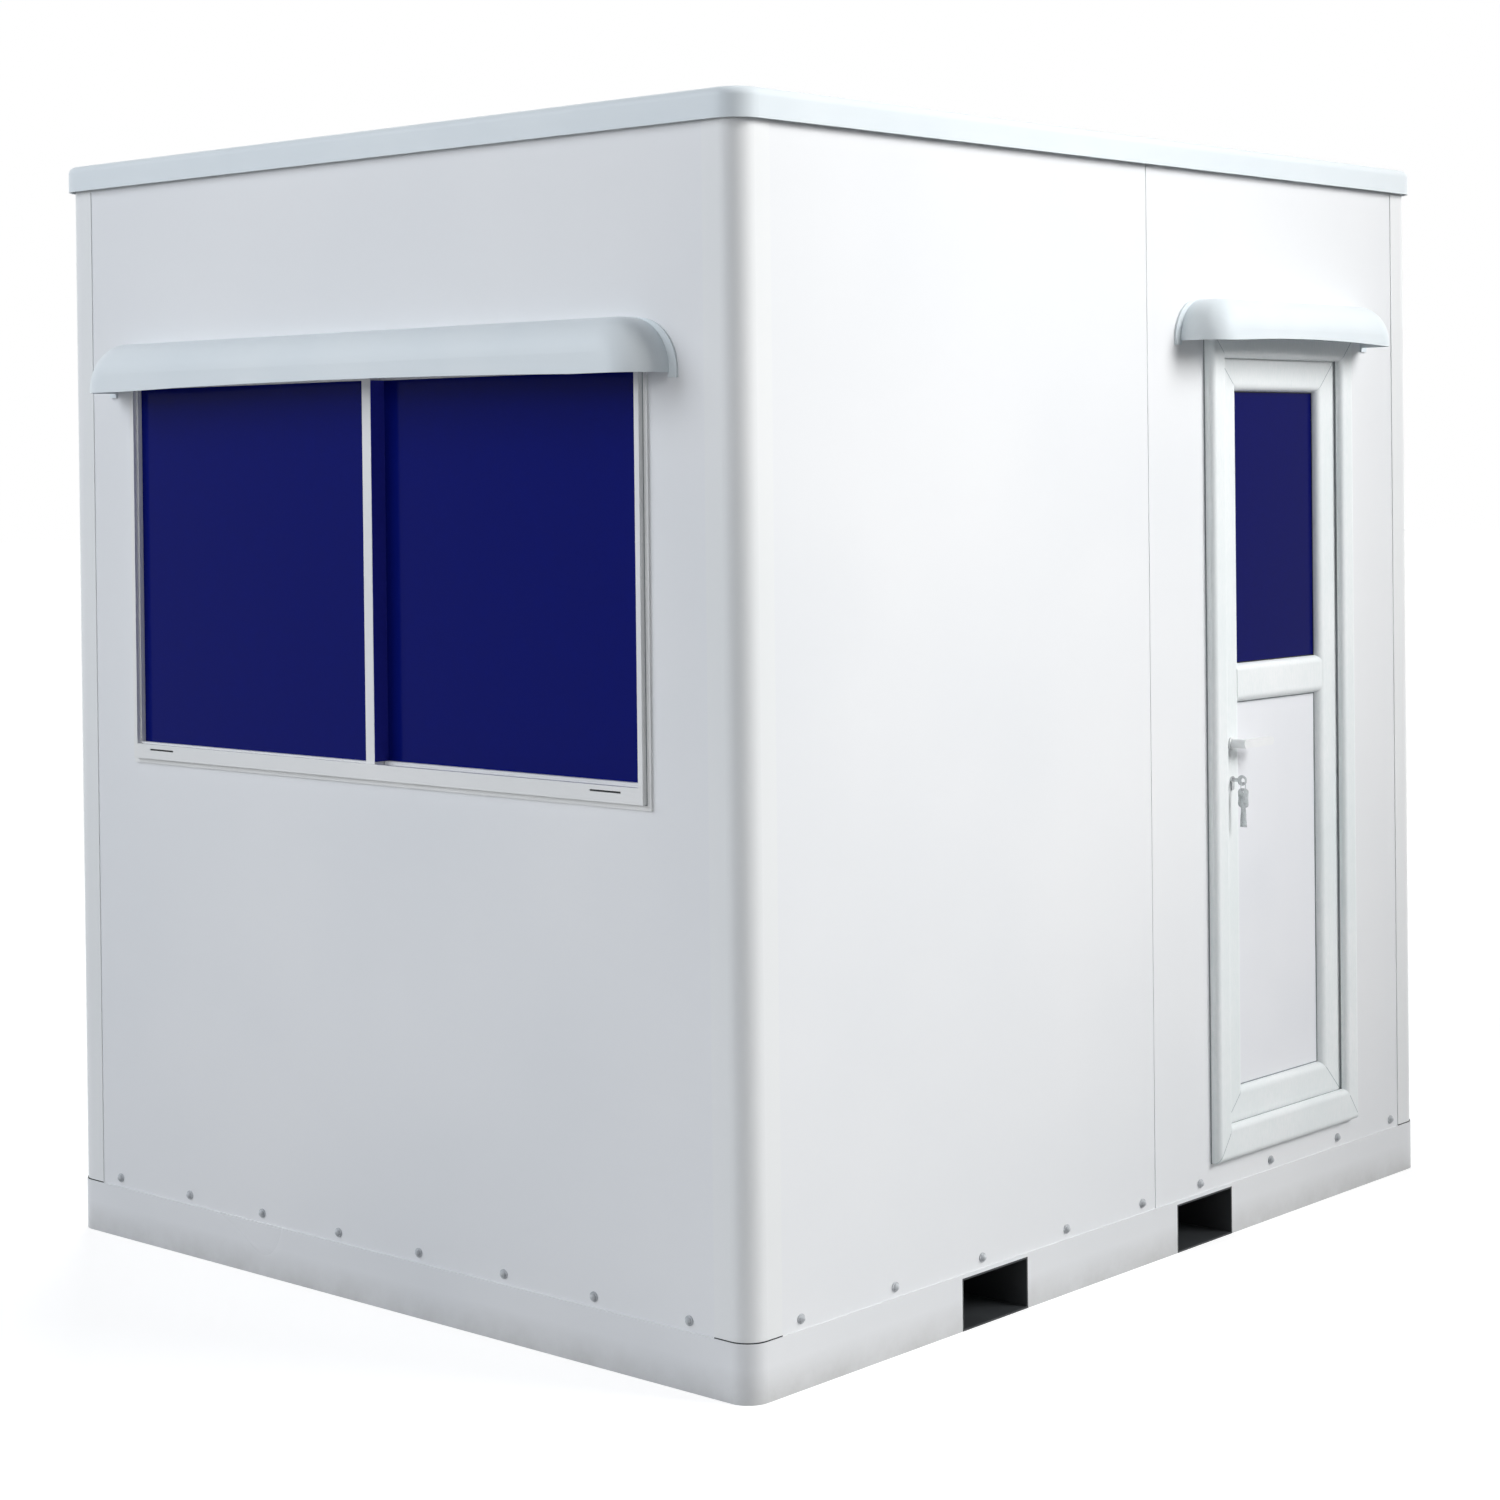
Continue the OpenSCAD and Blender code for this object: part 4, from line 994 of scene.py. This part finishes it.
    def welds(self) -> None:
        """Scraped seams across the welded corners of the frame and of the leaf."""
        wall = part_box("door_wall_header")[1].x
        arc = [math.radians(self.weld_arc_deg * k / self.weld_steps) for k in range(self.weld_steps + 1)]
        bend = [(1 - math.cos(t), 1 - math.sin(t)) for t in arc]
        wide, sill, edge = self.frame_face_mm[0], self.frame_face_mm[1], self.frame_round_mm
        rise = self.frame_proud_mm
        frame_line = [(edge * a, rise - edge * b) for a, b in bend]
        frame_line += [(wide - edge * a, rise - edge * b) for a, b in reversed(bend)]
        bar, soft = self.leaf_bar_mm, self.leaf_round_mm
        leaf_rise = (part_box("leaf_lock_stile")[1].x - wall) / MM
        leaf_line = [(self.lip_lap_mm, leaf_rise)]
        leaf_line += [(bar - soft * a, leaf_rise - soft * b) for a, b in reversed(bend)]
        for name, bars, line, steep, body in (
                ("door_frame_welds", self.frame_bars, frame_line, sill / wide, Body.BOOTH),
                ("door_leaf_welds", self.leaf_bars, leaf_line, 1.0, Body.DOOR)):
            middle, half = self.outline(bars, wall)
            paths = []
            for sy in (-1.0, 1.0):
                for sz, slope in ((-1.0, steep), (1.0, 1.0)):
                    corner = middle + Vector((0, sy * half[0], sz * half[1]))
                    along = Vector((0, -sy, -sz * slope))
                    points = [corner + along * (u * MM) + Vector((n * MM, 0, 0)) for u, n in line]
                    across = Vector((0, sz * slope, -sy)).normalized()
                    paths.append((points, across, Vector((1, 0, 0))))
            mesh = ribbon_mesh(name, paths, self.weld_mm * MM, self.weld_proud_mm * MM,
                               self.weld_sink_mm * MM)
            add_piece(name, mesh, WELD, body)


@dataclass(frozen=True)
class Lamp:
    """Large square soft lamp that lights the booth but isn't mirrored in it."""

    name: str
    place: tuple[float, float, float]
    aim: tuple[float, float, float]
    size_m: float
    spread_deg: float
    power_w: float
    tint: str

    def build(self) -> None:
        """Add the lamp to the scene."""
        data = bpy.data.lights.new(self.name, "AREA")
        data.shape = "SQUARE"
        data.size = self.size_m
        data.spread = math.radians(self.spread_deg)
        data.energy = self.power_w
        data.color = linear(self.tint)[:3]
        lamp = bpy.data.objects.new(self.name, data)
        lamp.visible_glossy = False
        lamp.location = self.place
        lamp.rotation_euler = (Vector(self.aim) - Vector(self.place)).to_track_quat("-Z", "Y").to_euler()
        bpy.context.scene.collection.objects.link(lamp)


@dataclass
class Studio:
    """Floor, soft light, white backdrop and the camera at the photograph's angle."""

    eye: tuple[float, float, float] = (4.972, -5.597, 1.845)
    heading_deg: float = 131.85
    pitch_deg: float = -0.6
    roll_deg: float = -0.63
    lens_mm: float = 71.46
    shift_y: float = -0.1708
    sensor_mm: float = 36.0
    sight_m: float = 200.0
    lamps: tuple[Lamp, ...] = (
        Lamp("door_side", place=(6.6, 2.7, 5.6), aim=(1.1, -1.0, 2.1), size_m=4.5, spread_deg=61.0,
             power_w=125.0, tint="#FFFFFF"),
        Lamp("window_side", place=(-4.2, -7.26, 5.76), aim=(0.1, -1.3, 2.0), size_m=6.0, spread_deg=100.0,
             power_w=152.0, tint="#F3F8FF"),
        Lamp("front_fill", place=(1.9, -8.0, 3.2), aim=(0.9, -0.5, 1.4), size_m=3.0, spread_deg=100.0,
             power_w=34.0, tint="#FAFCFF"),
        Lamp("back_side", place=(-5.4, 5.0, 5.2), aim=(0.0, 0.0, 1.4), size_m=5.0, spread_deg=100.0,
             power_w=215.0, tint="#FAFCFF"),
    )
    ambient: float = 0.05
    ambient_tint: str = "#E8EFFF"
    floor_colour: str = "#B4B4B4"
    floor_reach_m: float = 60.0
    floor_glow: tuple[float, float] = (0.72, 1.0)
    floor_fade_m: tuple[float, float] = (2.8, 7.5)
    floor_shaded_m: tuple[float, float] = (1.05, 1.25)

    def build(self) -> None:
        """Make the world, floor, lamps and camera."""
        bpy.context.scene.view_settings.view_transform = "Standard"
        self.world()
        self.floor()
        for lamp in self.lamps:
            lamp.build()
        self.camera()

    def world(self) -> None:
        """White where the camera, gloss and glass look, a softer grey as light."""
        world = bpy.data.worlds.new("studio")
        bpy.context.scene.world = world
        world.use_nodes = True
        tree = world.node_tree
        tree.nodes.clear()
        soft = add_node(tree, "ShaderNodeBackground",
                        {"Color": linear(self.ambient_tint), "Strength": self.ambient})
        white = add_node(tree, "ShaderNodeBackground", {"Color": WHITE, "Strength": 1.0})
        mix = add_node(tree, "ShaderNodeMixShader",
                       {0: background_rays(tree), 1: soft.outputs[0], 2: white.outputs[0]})
        add_node(tree, "ShaderNodeOutputWorld", {"Surface": mix.outputs[0]})

    def floor(self) -> None:
        """Pale floor that keeps the booth's shadow, with a painted glow seen by the camera: white far off,
        fainter near the booth, and left out under the booth so it stays dark there.
        """
        mesh = bpy.data.meshes.new("studio_floor")
        reach = self.floor_reach_m
        mesh.from_pydata([(reach * a, reach * b, 0) for a, b in CORNERS], [], [(0, 1, 2, 3)])
        floor = bpy.data.objects.new("studio_floor", mesh)
        bpy.context.scene.collection.objects.link(floor)
        made, tree, place = new_material("studio floor, matt white")
        shade = add_node(tree, "ShaderNodeBsdfDiffuse", {"Color": linear(self.floor_colour)})
        far = add_node(tree, "ShaderNodeVectorMath", {0: place}, operation="LENGTH")
        rise = add_node(tree, "ShaderNodeMapRange",
                        {"Value": far.outputs["Value"], "From Min": self.floor_fade_m[0],
                         "From Max": self.floor_fade_m[1], "To Min": self.floor_glow[0],
                         "To Max": self.floor_glow[1]})
        share = add_node(tree, "ShaderNodeVectorMath",
                         {0: place, 1: (1 / self.floor_shaded_m[0], 1 / self.floor_shaded_m[1], 0.0)},
                         operation="MULTIPLY")
        away = add_node(tree, "ShaderNodeVectorMath", {0: share.outputs[0]}, operation="ABSOLUTE")
        split = add_node(tree, "ShaderNodeSeparateXYZ", {"Vector": away.outputs[0]})
        widest = add_node(tree, "ShaderNodeMath",
                          {0: split.outputs["X"], 1: split.outputs["Y"]}, operation="MAXIMUM")
        clear = add_node(tree, "ShaderNodeMath", {0: widest.outputs[0], 1: 1.0}, operation="GREATER_THAN")
        level = add_node(tree, "ShaderNodeMath",
                         {0: rise.outputs[0], 1: clear.outputs[0]}, operation="MULTIPLY")
        # Painted light: a glow that only camera, gloss and glass rays see, rising away from the booth.
        glow = add_node(tree, "ShaderNodeEmission", {"Color": WHITE, "Strength": level.outputs[0]})
        both = add_node(tree, "ShaderNodeAddShader", {0: shade.outputs[0], 1: glow.outputs[0]})
        mix = add_node(tree, "ShaderNodeMixShader",
                       {0: background_rays(tree), 1: shade.outputs[0], 2: both.outputs[0]})
        close_material(tree, mix)
        mesh.materials.append(made)

    def camera(self) -> None:
        """Add the camera."""
        data = bpy.data.cameras.new("photo_view")
        data.sensor_width = self.sensor_mm
        data.lens = self.lens_mm
        data.shift_y = self.shift_y
        data.clip_end = self.sight_m
        camera = bpy.data.objects.new("photo_view", data)
        yaw, pitch = math.radians(self.heading_deg), math.radians(self.pitch_deg)
        ahead = Vector((math.cos(yaw) * math.cos(pitch), math.sin(yaw) * math.cos(pitch), math.sin(pitch)))
        level = ahead.to_track_quat("-Z", "Y").to_matrix().to_4x4()
        turn = Matrix.Rotation(math.radians(self.roll_deg), 4, "Z")
        camera.matrix_world = Matrix.Translation(self.eye) @ level @ turn
        bpy.context.scene.collection.objects.link(camera)
        bpy.context.scene.camera = camera


def main() -> None:
    """Build every sub-assembly in order."""
    logging.basicConfig(level=logging.INFO, format="%(name)s: %(message)s")
    for part in (Base(), Shell(), ScrewRows(), Window(), DoorSet(), Studio()):
        part.build()
        LOG.info("built %s", type(part).__name__)


if __name__ == "__main__":
    main()
